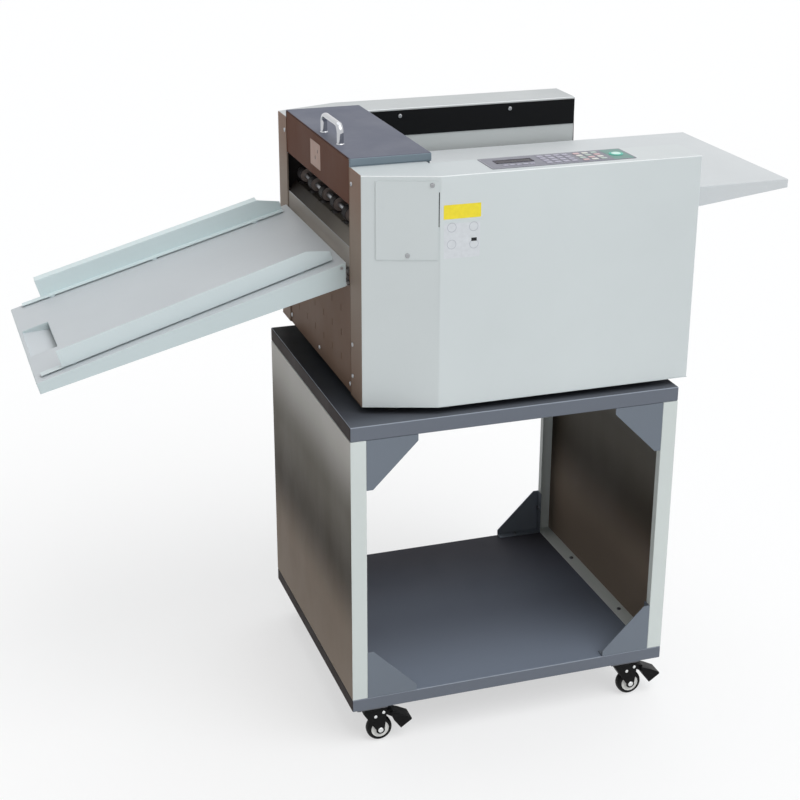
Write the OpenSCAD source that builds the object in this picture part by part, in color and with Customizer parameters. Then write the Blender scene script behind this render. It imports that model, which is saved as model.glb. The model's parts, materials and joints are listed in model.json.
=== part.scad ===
// Paper creasing machine with a hinged lid, a feed table and a delivery tray, on an open
// sheet-metal stand with four braked swivel castors. Lengths are in millimetres.

/* [Stand] */
// Width of the stand, side to side
stand_w = 640; // [600:1:720]
// Depth of the stand, front to back
stand_d = 560; // [500:1:620]
// Height of the stand, from the underside of its shelf to the top of its deck
stand_h = 580; // [450:1:700]
// Depth of the deck's folded edge
deck_edge = 28; // [20:1:40]
// Depth of the shelf's folded edge
shelf_edge = 26; // [20:1:40]
// Width of the return flange under the deck and the shelf
edge_return = 46; // [44:1:60]
// Thickness of the stand's sheet metal
stand_sheet = 1.5; // [1:0.1:2.5]
// Width of the side panels' flanges
post_w = 30; // [24:1:40]
// Depth of the lip that turns back from each front and rear flange
post_lip = 15; // [14:1:20]
// Leg of the corner gussets
gusset_leg = 97; // [70:1:120]
// Cut at the tip of each gusset leg
gusset_tip = 12; // [6:1:20]
// Thickness of the gussets
gusset_sheet = 2; // [1.5:0.1:3]
// Width of the tabs by which a gusset is screwed on
gusset_tab = 20; // [18:1:30]
// Distance from the front and the back to the screws of the side panels' foot flanges
foot_screw_inset = 160; // [120:1:200]

/* [Castors] */
// Height of the castors, from the floor to the stand
castor_h = 80; // [78:1:90]
// Diameter of the castor wheels
wheel_d = 50; // [44:1:52]
// Width of the castor wheels
wheel_w = 20; // [16:1:24]
// Radius of the wheel's axle
axle_r = 4; // [3:0.1:5]
// Distance from the swivel axis back to the axle
castor_trail = 18; // [14:1:22]
// Distance from the stand's left side to the left swivel axes
castor_left_inset = 40; // [34:1:70]
// Distance from the stand's right side to the right swivel axes
castor_right_inset = 75; // [60:1:110]
// Distance from the front or back edge to the swivel axes
castor_edge_inset = 22; // [21:1:24]
// Length of a castor's top plate
castor_plate_l = 60; // [56:1:64]
// Width of a castor's top plate
castor_plate_w = 40; // [38:1:41]
// Thickness of a castor's top plate
castor_plate_t = 2.5; // [2:0.1:3]
// Radius of the king pin
king_pin_r = 5; // [4:0.1:6]

/* [Machine body] */
// Depth of the machine, from its near cover to its rear cover
body_d = 644; // [620:1:680]
// Length of the machine, from its delivery end to its feed end
body_l = 621; // [560:1:700]
// Height of the covers
body_h = 420; // [410:1:460]
// Gap between the deck and the covers
feet_gap = 14; // [8:1:24]
// Distance from the stand's left side to the machine's delivery end
machine_inset = 39; // [0:1:60]
// Distance from the stand's front to the machine's mid-plane
machine_mid = 333; // [325:1:345]
// Length of the angled corners, along the machine
corner_l = 129; // [115:1:140]
// Depth that the angled corners take off each side at the delivery end
corner_in = 44; // [30:1:60]
// Thickness of the covers
cover_t = 1.5; // [1:0.1:2]
// Width of each housing, from the open channel between them to the outside of its cover
housing_w = 96; // [94:1:98]
// Distance from the channel's sides in to the sides of the delivery window
mouth_inset = 14; // [12:1:15]
// Radius of the rubber feet
foot_r = 16; // [10:1:20]
// Distance from the machine's ends and near side to the centres of its feet
foot_inset = 60; // [50:1:80]
// Distance from the deck's rear edge to the centres of the rear feet
foot_rear_inset = 30; // [22:1:40]

/* [Machine frame] */
// Gap between the channel's side wall and the frame plates
frame_gap = 2; // [1.8:0.1:3]
// Thickness of the two frame plates
frame_t = 8; // [6:1:10]
// Height of the top of the frame plates above the covers' lower edge
frame_top = 417; // [416:1:418]
// Thickness of the base pan
pan_t = 2; // [1.5:0.1:3]
// Height of the base pan's edge
pan_edge = 26; // [22:1:40]
// Height of the base pan above the covers' lower edge
pan_lift = 3; // [2:0.5:6]
// Height of the cross bars' section
bar_h = 25; // [20:1:30]
// Width of the cross bars' section
bar_w = 30; // [20:1:40]

/* [Paper path] */
// Height of the feed table above the covers' lower edge
table_z = 332; // [325:1:338]
// Height of the delivery sill above the covers' lower edge
sill_z = 275; // [270:1:278]
// Distance from the delivery end to the exit rollers' axes
exit_x = 31; // [29:1:33]
// Height of the exit rollers' nip
exit_nip_z = 296; // [294:1:299]
// Distance from the delivery end to the feed rollers' axes
feed_x = 133; // [130:1:136]
// Drop of the feed rollers' nip below the table
feed_nip_drop = 2; // [1:0.5:4]
// Radius of the rollers' pitch circle, half the distance between paired shafts
roller_pitch_r = 14; // [13:0.5:14]
// Gap between paired rollers
roller_gap = 0.3; // [0.2:0.1:1]
// Radius of the roller shafts
roller_shaft_r = 5; // [4:0.5:6]
// Width of each exit roller
roller_w = 24; // [16:1:40]
// Distance from the sides of the delivery window to the outermost exit rollers
roller_end_gap = 10; // [6:1:30]
// Number of teeth on the roller gears
gear_teeth = 28; // [20:4:36]
// Width of the roller gears
gear_w = 8; // [6:1:10]
// Thickness of the sheet-metal paper guides
guide_t = 1.5; // [1:0.1:2]

/* [Creasing unit] */
// Distance from the delivery end to the creasing blade
crease_x = 86; // [84:1:88]
// Thickness of the creasing blade
blade_t = 2; // [1:0.1:2.4]
// Distance from the sides of the delivery window to the ends of the creasing blade
blade_end_gap = 17; // [12:1:40]
// Height of the blade's edge above the paper when it is raised
blade_lift = 4; // [3:0.5:5]
// Eccentricity of the cams, half the blade's stroke
cam_e = 3; // [2.5:0.1:3.2]
// Radius of the cams
cam_r = 10; // [9.5:0.5:11]
// Width of the cams
cam_w = 14; // [8:1:20]
// Radius of the crease shaft
crease_shaft_r = 6; // [5:0.5:6.5]
// Height of the crease shaft above the covers' lower edge
crease_shaft_z = 386; // [384:1:388]
// Thickness of the beam that carries the blade
beam_t = 14; // [12:1:16]
// Width of the groove in the anvil
groove_w = 4; // [3.4:0.1:5]

/* [Lid] */
// Length of the lid, from its flap to its hinged edge
lid_l = 150; // [148:1:154]
// Overlap of the lid over the housings at each side of the delivery window
lid_overlap = 2; // [1.6:0.1:4]
// Height of the lid above the housings
lid_rise = 15; // [12:1:22]
// Thickness of the lid's sheet metal
lid_t = 1.5; // [1:0.1:2]
// Height of the lower edge of the lid's flap above the covers' lower edge
flap_z = 351.5; // [345:0.5:360]
// Gap between the flap and the covers beside it
flap_gap = 1.5; // [0.5:0.1:2]
// Distance from the lid's hinged edge to its pivot
lid_pivot_in = 8; // [7:0.5:10]
// Drop of the lid's pivot below the top of the housings
lid_pivot_drop = 9; // [8:0.5:10]
// Radius of the lid's hinge pins
lid_pin_r = 4; // [3:0.5:4.5]
// Length of the lid's handle
handle_l = 105; // [80:1:120]
// Height of the lid's handle
handle_h = 38; // [28:1:50]
// Radius of the handle's bar
handle_r = 4.5; // [3:0.5:6]
// Radius of the bends in the handle
handle_bend = 14; // [10:1:18]
// Distance from the flap to the handle
handle_x = 16; // [12:1:40]
// Distance from the machine's mid-plane to the middle of the handle, towards the operator
handle_off = 53; // [0:1:80]

/* [Table and panels] */
// Distance from the delivery end to the free end of the feed table
table_end = 869; // [800:1:920]
// Distance from the delivery end to the inner end of the feed table
table_start = 152; // [151:1:160]
// Gap between the feed table and the channel's sides
table_gap = 13; // [10:1:26]
// Thickness of the feed table's sheet metal
table_t = 2; // [1.5:0.1:3]
// Depth of the table's skirts inside the machine
skirt_h = 45; // [36:1:50]
// Depth of the table's skirts at its free end
skirt_end_h = 16; // [10:1:24]
// Thickness of the screwed-on panels
panel_t = 1.5; // [1:0.1:2]
// Distance from the delivery end to the control panel
control_x = 228; // [180:1:240]
// Length of the control panel
control_l = 273; // [230:1:300]
// Width of the control panel
control_w = 75; // [60:1:80]
// Distance from the control panel to the near housing's outer edge
control_in = 17; // [10:1:20]
// Thickness of the control panel
control_t = 0.8; // [0.5:0.1:2]
// Length of the display window
display_l = 70; // [50:1:80]
// Width of the display window
display_w = 22; // [16:1:30]

/* [Delivery tray] */
// Length of the tray along its slope
tray_l = 573.7; // [480:0.1:620]
// Gap between the tray and each side of the delivery window
tray_side_gap = 5.5; // [4:0.5:12]
// Slope of the tray
tray_slope = 16.48; // [12:0.01:20]
// Gap between the delivery end and the tray
tray_gap = 6; // [5:0.5:8]
// Height of the tray's inner end above the covers' lower edge
tray_z = 248; // [240:1:252]
// Thickness of the tray's sheet metal
tray_t = 1.5; // [1:0.1:2]
// Depth of the tray's side walls at the machine
tray_wall_in = 44; // [38:1:48]
// Depth of the tray's walls at its outer end
tray_wall_out = 21; // [18:1:28]
// Distance from the tray's inner end to its pivot, along its slope
tray_pivot_in = 10.5; // [9:0.5:12]
// Depth of the tray's pivot below its upper face
tray_pivot_down = 7.3; // [7:0.1:9]
// Radius of the tray's pivot pins
tray_pin_r = 3; // [2.5:0.1:3.2]
// Height of the near fence
near_fence_h = 36; // [24:1:50]
// Height of the rear fence
rear_fence_h = 38; // [24:1:50]
// Width of the fences' base flanges
fence_base = 16; // [12:1:24]
// Width of the rear fence's top flange
fence_top = 22; // [8:1:26]
// Gap under the fences
fence_lift = 3; // [1.5:0.1:4]
// Angle by which the near fence runs inwards
near_toe = 1.2; // [0:0.1:2]
// Angle by which the rear fence runs inwards
rear_toe = 2.84; // [0:0.01:4]
// Length of the finger recess along the tray
recess_l = 49; // [40:1:60]
// Width of the finger recess
recess_w = 139; // [100:1:160]
// Depth of the finger recess
recess_h = 15; // [10:1:16]

/* [Hidden] */
$fn = 48;
// Radial clearance of a shaft or a pin in its bore
run_gap = 0.05;
// Gap between parts that pass each other
pass_gap = 0.3;

// The stand's near left lower corner, placed so that the part's box is centred on the origin
tray_reach = tray_gap + tray_l * cos(tray_slope);
part_left = machine_inset - tray_reach;
part_right = machine_inset + table_end;
part_near = min(0, machine_mid - body_d / 2);
part_far = max(stand_d, machine_mid + body_d / 2);
stand_x = -(part_left + part_right) / 2;
stand_y = -(part_near + part_far) / 2;

// Castors: left front, right front, left rear, right rear
castor_xs = [castor_left_inset, stand_w - castor_right_inset];
castor_ys = [castor_edge_inset, stand_d - castor_edge_inset];
wheel_r = wheel_d / 2;
axle_drop = castor_h - wheel_r;
fork_top = castor_plate_t + pass_gap;
fork_t = 2;
fork_crown_t = 4;
fork_crown_r = 20;
fork_inner = wheel_w / 2 + 1.5;
king_pin_head = 3;
king_pin_drop = fork_top + fork_crown_t + pass_gap;
boss_r = axle_r + 5;
pedal_pin_x = 24;
pedal_pin_drop = 17;
pedal_pin_r = 2.5;
pedal_reach = 80;
pedal_root_half = fork_inner - pass_gap;
pedal_half = fork_inner + fork_t + 3;

// Screws of the stand: shank, hole and head
bolt_r = 2.5;
bolt_hole_r = bolt_r + 0.1;
bolt_head_r = 4.5;
bolt_head_h = 2.6;
bolt_l = 5;
gusset_screw_in = 8;
gusset_corners = [
    [[post_w, 0, shelf_edge], [0, 0, 0]],
    [[stand_w - post_w, 0, shelf_edge], [1, 0, 0]],
    [[post_w, 0, stand_h - deck_edge], [0, 0, 1]],
    [[stand_w - post_w, 0, stand_h - deck_edge], [1, 0, 1]],
    [[post_w, stand_d, shelf_edge], [0, 1, 0]],
    [[stand_w - post_w, stand_d, shelf_edge], [1, 1, 0]]
];

// Machine: x from the delivery end, y from the mid-plane, z from the covers' lower edge
body_half = body_d / 2;
end_half = body_half - corner_in;
corner_a = atan2(corner_in, corner_l);
corner_face = norm([corner_l, corner_in]);
channel_half = body_half - housing_w;
mouth_half = channel_half - mouth_inset;
lid_half = mouth_half + lid_overlap;
table_half = channel_half - table_gap;
tray_half = mouth_half - tray_side_gap;
frame_in = channel_half + frame_gap;
frame_out = frame_in + frame_t;
panel_back = cover_t + panel_t;
panel_half = frame_out + 4;
pan_floor = pan_lift + pan_t;
wall_foot = table_z - skirt_h + 3;
lid_pivot = [lid_l - lid_pivot_in, body_h - lid_pivot_drop];
shoulder_l = lid_pivot[0] - 1;
lid_top = body_h + lid_rise;
ear_t = 4;
ear_out = mouth_half - 4;

// Paper path: feed nip, exit nip, and the height of the paper between them
feed_nip_z = table_z - feed_nip_drop;
path_a = atan2(feed_nip_z - exit_nip_z, feed_x - exit_x);
roller_r = roller_pitch_r - roller_gap / 2;
roller_pitch = (mouth_half - roller_end_gap - roller_w / 2) / 2.5;
shaft_bore_r = roller_shaft_r + run_gap;
shaft_ends = [[exit_x, exit_nip_z], [feed_x, feed_nip_z]];
gear_y = frame_out + 3;
pulley_y = gear_y + gear_w + 2;
pulley_w = 12;
pulley_rim = 1.2;
pulley_r = 12;
belt_t = 1.6;
motor_at = [100, 200];
motor_size = 56;
motor_l = 58;
motor_shaft_r = 4;
motor_shaft_in = 20;
crease_motor_l = 56;
crease_shaft_in = 30;
guide_drop = 1.5;

// Creasing unit
path_at_crease = exit_nip_z + (crease_x - exit_x) * tan(path_a);
blade_z = path_at_crease + blade_lift;
beam_z = blade_z + 12;
beam_top = crease_shaft_z + cam_e - cam_r - 1;
beam_half = mouth_half - 6;
tongue_t = beam_t - 4;
tongue_l = 16;
anvil_z = path_at_crease - 1.3;
anvil_h = 40;
anvil_t = 18;
crease_guide_t = 28;
blade_half = mouth_half - blade_end_gap;
cam_y = mouth_half - 62;

// Screws of the covers
screw_r = 1.8;
screw_hole_r = screw_r + 0.1;
screw_l = cover_t + panel_t + 0.2;
screw_head_r = 4.2;
screw_head_h = 2.2;
flange_screw_y = mouth_half + 13;
flange_screw_zs = [40, 100, 393];
foot_panel_screw_z = 17;
foot_panel_screw_y = mouth_half - 8;
black_z0 = table_z + 33;
black_z1 = body_h - 4;
black_x0 = lid_l + 2;
black_x1 = body_l - 2;
black_screw_drop = 15;
black_screw_xs = [238, 475];
plate_x0 = 25;
plate_x1 = 132;
plate_z0 = 273;
plate_z1 = 411;
plate_screws = [[121.3, 404.5], [79.9, 280.9]];
slit_w = 2;
slit_z0 = 331;
slit_z1 = 392;

// Power inlet and switch on the rear cover
inlet_x = 520;
inlet_z = 60;
inlet_w = 27;
inlet_h = 20;
inlet_deep = 22;
switch_off = 32;
switch_w = 20;
switch_h = 13.4;
rocker_tilt = 8;
rocker_pivot = 3;
rocker_pin_r = 1.2;

// Circuit board, and its transformer, processor and connector as place and size
board_x = 240;
board_z = 240;
board_l = 200;
board_h = 140;
board_t = 1.6;
board_post_l = 10;
board_post_in = 8;
board_post_r = 3;
board_blocks = [
    [[20, 20], [50, 21, 40]],
    [[100, 70], [40, 5, 30]],
    [[20, 90], [70, 13, 20]]
];

// Louvres of the delivery end
louvre_pitch_y = 59;
louvre_pitch_z = 47;
louvre_z = 51;
louvre_l = 12.5;
louvre_w = 2.5;

// Tray
near_fence_y = tray_half - 15;
rear_fence_y = tray_half - 1.4;
near_fence_start = 12.6;
rear_fence_start = 24;
fence_setback = 38;
near_fence_l = tray_l - near_fence_start - 15;
rear_fence_l = tray_l - rear_fence_start - 15;
fence_clip_l = 42;
fence_end_h = 20;
fence_t = 1.5;
fence_hole_r = 2.5;
spacer_r = 6;
recess_start = 7;
recess_mid = -3.5;
recess_wall = 1.5;
recess_lip_h = 4;
ear_y = tray_half - tray_t - 5;
bracket_t = 3;
bracket_h = 33;
bracket_foot_w = 14;
bracket_stop_h = 7;
bracket_stop_w = 8;

// ---------------------------------------------------------------- helpers

// A box between its lowest and its highest corner
module box_between(lo, hi) {
    translate(lo) cube(hi - lo);
}

// A profile drawn in x and z, pulled from y = from to y = to
module pulled_along_y(from, to) {
    translate([0, to, 0]) rotate([90, 0, 0]) linear_extrude(to - from) children();
}

// A round bar along y, with its axis at x and z
module bar_along_y(at, from, to, r) {
    translate([at[0], from, at[1]]) rotate([-90, 0, 0]) cylinder(r = r, h = to - from);
}

// What is drawn, on the near and on the rear side of the mid-plane
module on_both_sides() {
    children();
    mirror([0, 1, 0]) children();
}

module in_stand() {
    translate([stand_x, stand_y, castor_h]) children();
}

module in_machine() {
    in_stand() translate([machine_inset, machine_mid, stand_h + feet_gap]) children();
}

// The tray: x from its inner end up its slope, z up from its upper face
module in_tray() {
    in_machine() translate([-tray_gap, 0, tray_z]) rotate([0, -tray_slope, 0]) children();
}

// The angled face on the near side: x along the face, y outwards is negative
module on_corner_face() {
    translate([0, -end_half, 0]) rotate([0, 0, -corner_a]) children();
}

// ---------------------------------------------------------------- stand

// A shallow tray of sheet metal, open below, with a return flange along all four edges
module folded_tray(w, d, h) {
    difference() {
        cube([w, d, h]);
        box_between([stand_sheet, stand_sheet, stand_sheet],
                    [w - stand_sheet, d - stand_sheet, h - stand_sheet]);
        box_between([edge_return, edge_return, -1],
                    [w - edge_return, d - edge_return, h / 2]);
    }
}

module at_gussets() {
    for (corner = gusset_corners)
        translate(corner[0])
            mirror([corner[1][0], 0, 0]) mirror([0, corner[1][1], 0])
                mirror([0, 0, corner[1][2]]) children();
}

// Every screw of the stand, with z along its axis, out of the face it sits on
module at_stand_screws() {
    for (x = [post_w / 2, stand_w - post_w / 2])
        for (y = [foot_screw_inset, stand_d - foot_screw_inset]) {
            translate([x, y, shelf_edge + stand_sheet]) children();
            translate([x, y, stand_h - deck_edge - stand_sheet]) mirror([0, 0, 1]) children();
        }
    at_gussets() {
        translate([gusset_sheet, gusset_screw_in, gusset_leg * 0.6])
            rotate([0, 90, 0]) children();
        translate([gusset_leg * 0.6, gusset_screw_in, gusset_sheet]) children();
    }
    for (x = castor_xs, y = castor_ys)
        for (dx = [-1, 1], dy = [-1, 1])
            translate([x + dx * (castor_plate_l / 2 - 6), y + dy * (castor_plate_w / 2 - 6),
                       -castor_plate_t])
                mirror([0, 0, 1]) children();
}

module stand_screw_holes() {
    at_stand_screws() translate([0, 0, -bolt_l - 1]) cylinder(r = bolt_hole_r, h = bolt_l + 2);
}

module stand_deck() {
    color("slategray") in_stand() difference() {
        translate([0, 0, stand_h - deck_edge]) folded_tray(stand_w, stand_d, deck_edge);
        stand_screw_holes();
    }
}

module stand_shelf() {
    color("slategray") in_stand() difference() {
        folded_tray(stand_w, stand_d, shelf_edge);
        stand_screw_holes();
    }
}

// A side of the stand: a sheet with flanges on all four edges and lips on the upright ones
module side_panel() {
    z0 = shelf_edge;
    z1 = stand_h - deck_edge;
    box_between([0, 0, z0], [stand_sheet, stand_d, z1]);
    box_between([0, 0, z0], [post_w, stand_d, z0 + stand_sheet]);
    box_between([0, 0, z1 - stand_sheet], [post_w, stand_d, z1]);
    for (y = [0, stand_d - stand_sheet])
        box_between([0, y, z0], [post_w, y + stand_sheet, z1]);
    for (y = [0, stand_d - post_lip])
        box_between([post_w - stand_sheet, y, z0], [post_w, y + post_lip, z1]);
}

module stand_left_panel() {
    color("lightgray") in_stand() difference() {
        side_panel();
        stand_screw_holes();
    }
}

module stand_right_panel() {
    color("lightgray") in_stand() difference() {
        translate([stand_w, 0, 0]) mirror([1, 0, 0]) side_panel();
        stand_screw_holes();
    }
}

module gusset() {
    pulled_along_y(0, gusset_sheet) polygon([
        [0, 0], [gusset_leg, 0], [gusset_leg, gusset_tip],
        [gusset_tip, gusset_leg], [0, gusset_leg]
    ]);
    cube([gusset_sheet, gusset_tab, gusset_leg]);
    cube([gusset_leg, gusset_tab, gusset_sheet]);
}

module corner_gussets() {
    color("slategray") in_stand() difference() {
        at_gussets() gusset();
        stand_screw_holes();
    }
}

module stand_screws() {
    color("dimgray") in_stand() at_stand_screws() {
        cylinder(r = bolt_head_r, h = bolt_head_h);
        translate([0, 0, -bolt_l]) cylinder(r = bolt_r, h = bolt_l + 0.5);
    }
}

// ---------------------------------------------------------------- castors

// The castor of column i and row j, with its swivel axis on z and the stand at z = 0
module at_castor(i, j) {
    in_stand() translate([castor_xs[i], castor_ys[j], 0]) children();
}

module castor_plates() {
    color("silver") difference() {
        for (i = [0, 1], j = [0, 1]) at_castor(i, j) {
            translate([-castor_plate_l / 2, -castor_plate_w / 2, -castor_plate_t])
                cube([castor_plate_l, castor_plate_w, castor_plate_t]);
            translate([0, 0, -king_pin_drop - king_pin_head])
                cylinder(r = king_pin_r, h = king_pin_drop + king_pin_head - castor_plate_t / 2);
            translate([0, 0, -king_pin_drop - king_pin_head])
                cylinder(r = king_pin_r + 3, h = king_pin_head);
        }
        in_stand() stand_screw_holes();
    }
}

// A crown round the king pin, two legs down to the axle, and the pins of wheel and pedal
module castor_fork(i, j) {
    color("black") at_castor(i, j) {
        difference() {
            translate([0, 0, -fork_top - fork_crown_t])
                cylinder(r = fork_crown_r, h = fork_crown_t);
            translate([0, 0, -fork_top - fork_crown_t - 1])
                cylinder(r = king_pin_r + run_gap, h = fork_crown_t + 2);
        }
        for (y = [-fork_inner - fork_t, fork_inner])
            pulled_along_y(y, y + fork_t) {
                polygon([
                    [-fork_crown_r + 8, -fork_top - fork_crown_t / 2],
                    [pedal_pin_x + 6, -fork_top - fork_crown_t - 2],
                    [pedal_pin_x + 6, -pedal_pin_drop - 5],
                    [castor_trail + boss_r - 1, -axle_drop],
                    [castor_trail - boss_r + 1, -axle_drop],
                    [-fork_crown_r + 4, -fork_top - fork_crown_t - 8]
                ]);
                translate([castor_trail, -axle_drop]) circle(r = boss_r);
            }
        for (y = [-fork_inner - fork_t, fork_inner])
            box_between([-fork_crown_r + 8, y, -fork_top - fork_crown_t],
                        [fork_crown_r - 8, y + fork_t, -fork_top - fork_crown_t / 2]);
        bar_along_y([castor_trail, -axle_drop], -fork_inner - 1, fork_inner + 1, axle_r);
        bar_along_y([pedal_pin_x, -pedal_pin_drop], -fork_inner - 1, fork_inner + 1,
                    pedal_pin_r);
    }
}

module castor_wheel(i, j) {
    half = wheel_w / 2;
    color("dimgray") at_castor(i, j) translate([castor_trail, 0, -axle_drop]) rotate([90, 0, 0])
        rotate_extrude() polygon([
            [axle_r + run_gap, -half], [wheel_r * 0.36, -half], [wheel_r * 0.42, -half + 2.5],
            [wheel_r * 0.62, -half + 2.5], [wheel_r * 0.68, -half + 0.8],
            [wheel_r - 5, -half + 0.8], [wheel_r - 1.2, -half + 3.2], [wheel_r, -half + 6],
            [wheel_r, half - 6], [wheel_r - 1.2, half - 3.2], [wheel_r - 5, half - 0.8],
            [wheel_r * 0.68, half - 0.8], [wheel_r * 0.62, half - 2.5],
            [wheel_r * 0.42, half - 2.5], [wheel_r * 0.36, half], [axle_r + run_gap, half]
        ]);
}

// A lever that hangs on its pin between the fork's legs and widens behind them
module castor_pedal(i, j) {
    color("black") at_castor(i, j) difference() {
        union() {
            pulled_along_y(-pedal_root_half, pedal_root_half) {
                translate([pedal_pin_x, -pedal_pin_drop]) circle(r = pedal_pin_r + 2.5);
                polygon([
                    [pedal_pin_x, -pedal_pin_drop + 4], [pedal_reach * 0.55, -pedal_pin_drop - 1],
                    [pedal_reach * 0.55, -pedal_pin_drop - 16], [pedal_pin_x, -pedal_pin_drop - 4]
                ]);
            }
            pulled_along_y(-pedal_half, pedal_half) polygon([
                [castor_trail + wheel_r * 0.76, -pedal_pin_drop - 1],
                [pedal_reach, -pedal_pin_drop - 21],
                [pedal_reach, -pedal_pin_drop - 25], [pedal_reach - 22, -pedal_pin_drop - 40],
                [pedal_reach - 36, -pedal_pin_drop - 20]
            ]);
        }
        bar_along_y([pedal_pin_x, -pedal_pin_drop], -fork_inner - 1, fork_inner + 1,
                    pedal_pin_r + run_gap);
    }
}

module castor_fork_front_left() { castor_fork(0, 0); }
module castor_fork_front_right() { castor_fork(1, 0); }
module castor_fork_rear_left() { castor_fork(0, 1); }
module castor_fork_rear_right() { castor_fork(1, 1); }
module castor_wheel_front_left() { castor_wheel(0, 0); }
module castor_wheel_front_right() { castor_wheel(1, 0); }
module castor_wheel_rear_left() { castor_wheel(0, 1); }
module castor_wheel_rear_right() { castor_wheel(1, 1); }
module castor_pedal_front_left() { castor_pedal(0, 0); }
module castor_pedal_front_right() { castor_pedal(1, 0); }
module castor_pedal_rear_left() { castor_pedal(0, 1); }
module castor_pedal_rear_right() { castor_pedal(1, 1); }

// ---------------------------------------------------------------- machine frame

// The near half of the body seen from above, inset by t from its outside, and the whole of it
function body_outline(t) = [
    [t, 0],
    [t, -(end_half + (corner_in * t - corner_face * t) / corner_l)],
    [(corner_l / corner_in) * (corner_in - t + corner_face * t / corner_l), -(body_half - t)],
    [body_l - t, -(body_half - t)],
    [body_l - t, 0]
];
function whole_outline(t) = concat(
    [for (i = [1:3]) body_outline(t)[i]],
    [for (i = [3:-1:1]) [body_outline(t)[i][0], -body_outline(t)[i][1]]]
);

// Every screw of the covers, with z along its axis, out of the face it sits on
module at_cover_screws() {
    for (y = [-flange_screw_y, flange_screw_y], z = flange_screw_zs)
        translate([0, y, z]) rotate([0, -90, 0]) children();
    for (y = [-foot_panel_screw_y, 0, foot_panel_screw_y])
        translate([cover_t, y, foot_panel_screw_z]) rotate([0, -90, 0]) children();
    on_corner_face() for (at = plate_screws)
        translate([at[0], -panel_t, at[1]]) rotate([90, 0, 0]) children();
    for (x = black_screw_xs)
        translate([x, channel_half - panel_t, body_h - black_screw_drop])
            rotate([90, 0, 0]) children();
}

module cover_screw_holes() {
    at_cover_screws() translate([0, 0, -screw_l - 1]) cylinder(r = screw_hole_r, h = screw_l + 2);
}

module cover_screws() {
    color("silver") in_machine() at_cover_screws() {
        cylinder(r1 = screw_head_r, r2 = screw_head_r * 0.6, h = screw_head_h);
        translate([0, 0, -screw_l]) cylinder(r = screw_r, h = screw_l + 0.5);
    }
}

// The pan's outline, inset by t from the inside of the covers and panels
module pan_outline(t) {
    intersection() {
        polygon(whole_outline(cover_t + t));
        translate([panel_back + t, -body_half])
            square([body_l - cover_t - panel_back - 2 * t, body_d]);
    }
}

module base_pan() {
    color("dimgray") in_machine() difference() {
        translate([0, 0, pan_lift]) linear_extrude(pan_edge) pan_outline(0);
        translate([0, 0, pan_floor]) linear_extrude(pan_edge) pan_outline(pan_t);
        cover_screw_holes();
    }
}

module machine_feet() {
    color("black") in_machine()
        for (x = [foot_inset, body_l - foot_inset],
             y = [foot_inset - body_half, stand_d - machine_mid - foot_rear_inset])
            translate([x, y, -feet_gap])
                cylinder(r1 = foot_r, r2 = foot_r - 2, h = feet_gap + pan_lift);
}

// A frame plate on the rear side, with its bores
module frame_plate() {
    difference() {
        box_between([panel_back + pan_t, frame_in, pan_floor],
                    [body_l - cover_t - pan_t, frame_out, frame_top]);
        for (end = shaft_ends, side = [-1, 1])
            bar_along_y([end[0], end[1] + side * roller_pitch_r], frame_in - 1, frame_out + 1,
                        shaft_bore_r);
        bar_along_y([crease_x, crease_shaft_z], frame_in - 1, frame_out + 1,
                    crease_shaft_r + run_gap);
        bar_along_y(lid_pivot, frame_in - 1, frame_out + 1, lid_pin_r + run_gap);
    }
}

module near_frame() {
    color("darkgray") in_machine() mirror([0, 1, 0]) frame_plate();
}

module rear_frame() {
    color("darkgray") in_machine() difference() {
        frame_plate();
        bar_along_y(motor_at, frame_in - 1, frame_out + 1, motor_shaft_r + run_gap);
    }
}

module cross_bars() {
    top = table_z - skirt_h;
    color("darkgray") in_machine()
        for (x = [table_start + 40, body_l - 60])
            difference() {
                box_between([x, -frame_in, top - bar_h], [x + bar_w, frame_in, top]);
                box_between([x + 2, -frame_in - 1, top - bar_h + 2],
                            [x + bar_w - 2, frame_in + 1, top - 2]);
            }
}

// ---------------------------------------------------------------- casing

// The near housing's cover: outer walls, end flanges, top and channel wall in one shell
module housing_cover() {
    difference() {
        linear_extrude(body_h) difference() {
            polygon(body_outline(0));
            polygon(body_outline(cover_t));
        }
        box_between([-1, -mouth_half, -1], [cover_t + 1, 1, body_h + 1]);
        box_between([body_l - cover_t - 1, -channel_half, -1], [body_l + 1, 1, body_h + 1]);
    }
    translate([0, 0, body_h - cover_t]) linear_extrude(cover_t) difference() {
        polygon(body_outline(0));
        translate([-1, -mouth_half]) square([shoulder_l + 1, mouth_half + 1]);
        translate([shoulder_l - 1, -channel_half]) square([body_l, channel_half + 1]);
    }
    difference() {
        box_between([shoulder_l, -channel_half - cover_t, wall_foot],
                    [body_l - cover_t / 2, -channel_half, body_h - cover_t / 2]);
        bar_along_y(lid_pivot, -channel_half - cover_t - 1, -channel_half + 1, lid_pin_r + 2);
    }
}

module near_cover() {
    color("lightgray") in_machine() difference() {
        housing_cover();
        cover_screw_holes();
        on_corner_face() box_between([plate_x0 + 7, -1, plate_z0 + 16],
                                     [plate_x1 - 18, cover_t + 2, plate_z1 - 14]);
        on_corner_face() box_between([plate_x1 + 0.6, -1, slit_z0],
                                     [plate_x1 + 0.6 + slit_w, cover_t + 1, slit_z1]);
    }
}

module rear_cover() {
    color("lightgray") in_machine() difference() {
        mirror([0, 1, 0]) housing_cover();
        cover_screw_holes();
        box_between([inlet_x - inlet_w / 2 - 0.3, body_half - 5, inlet_z - inlet_h / 2 - 0.3],
                    [inlet_x + switch_off + switch_w / 2 + 1.8, body_half + 1,
                     inlet_z + inlet_h / 2 + 0.3]);
    }
}

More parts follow.
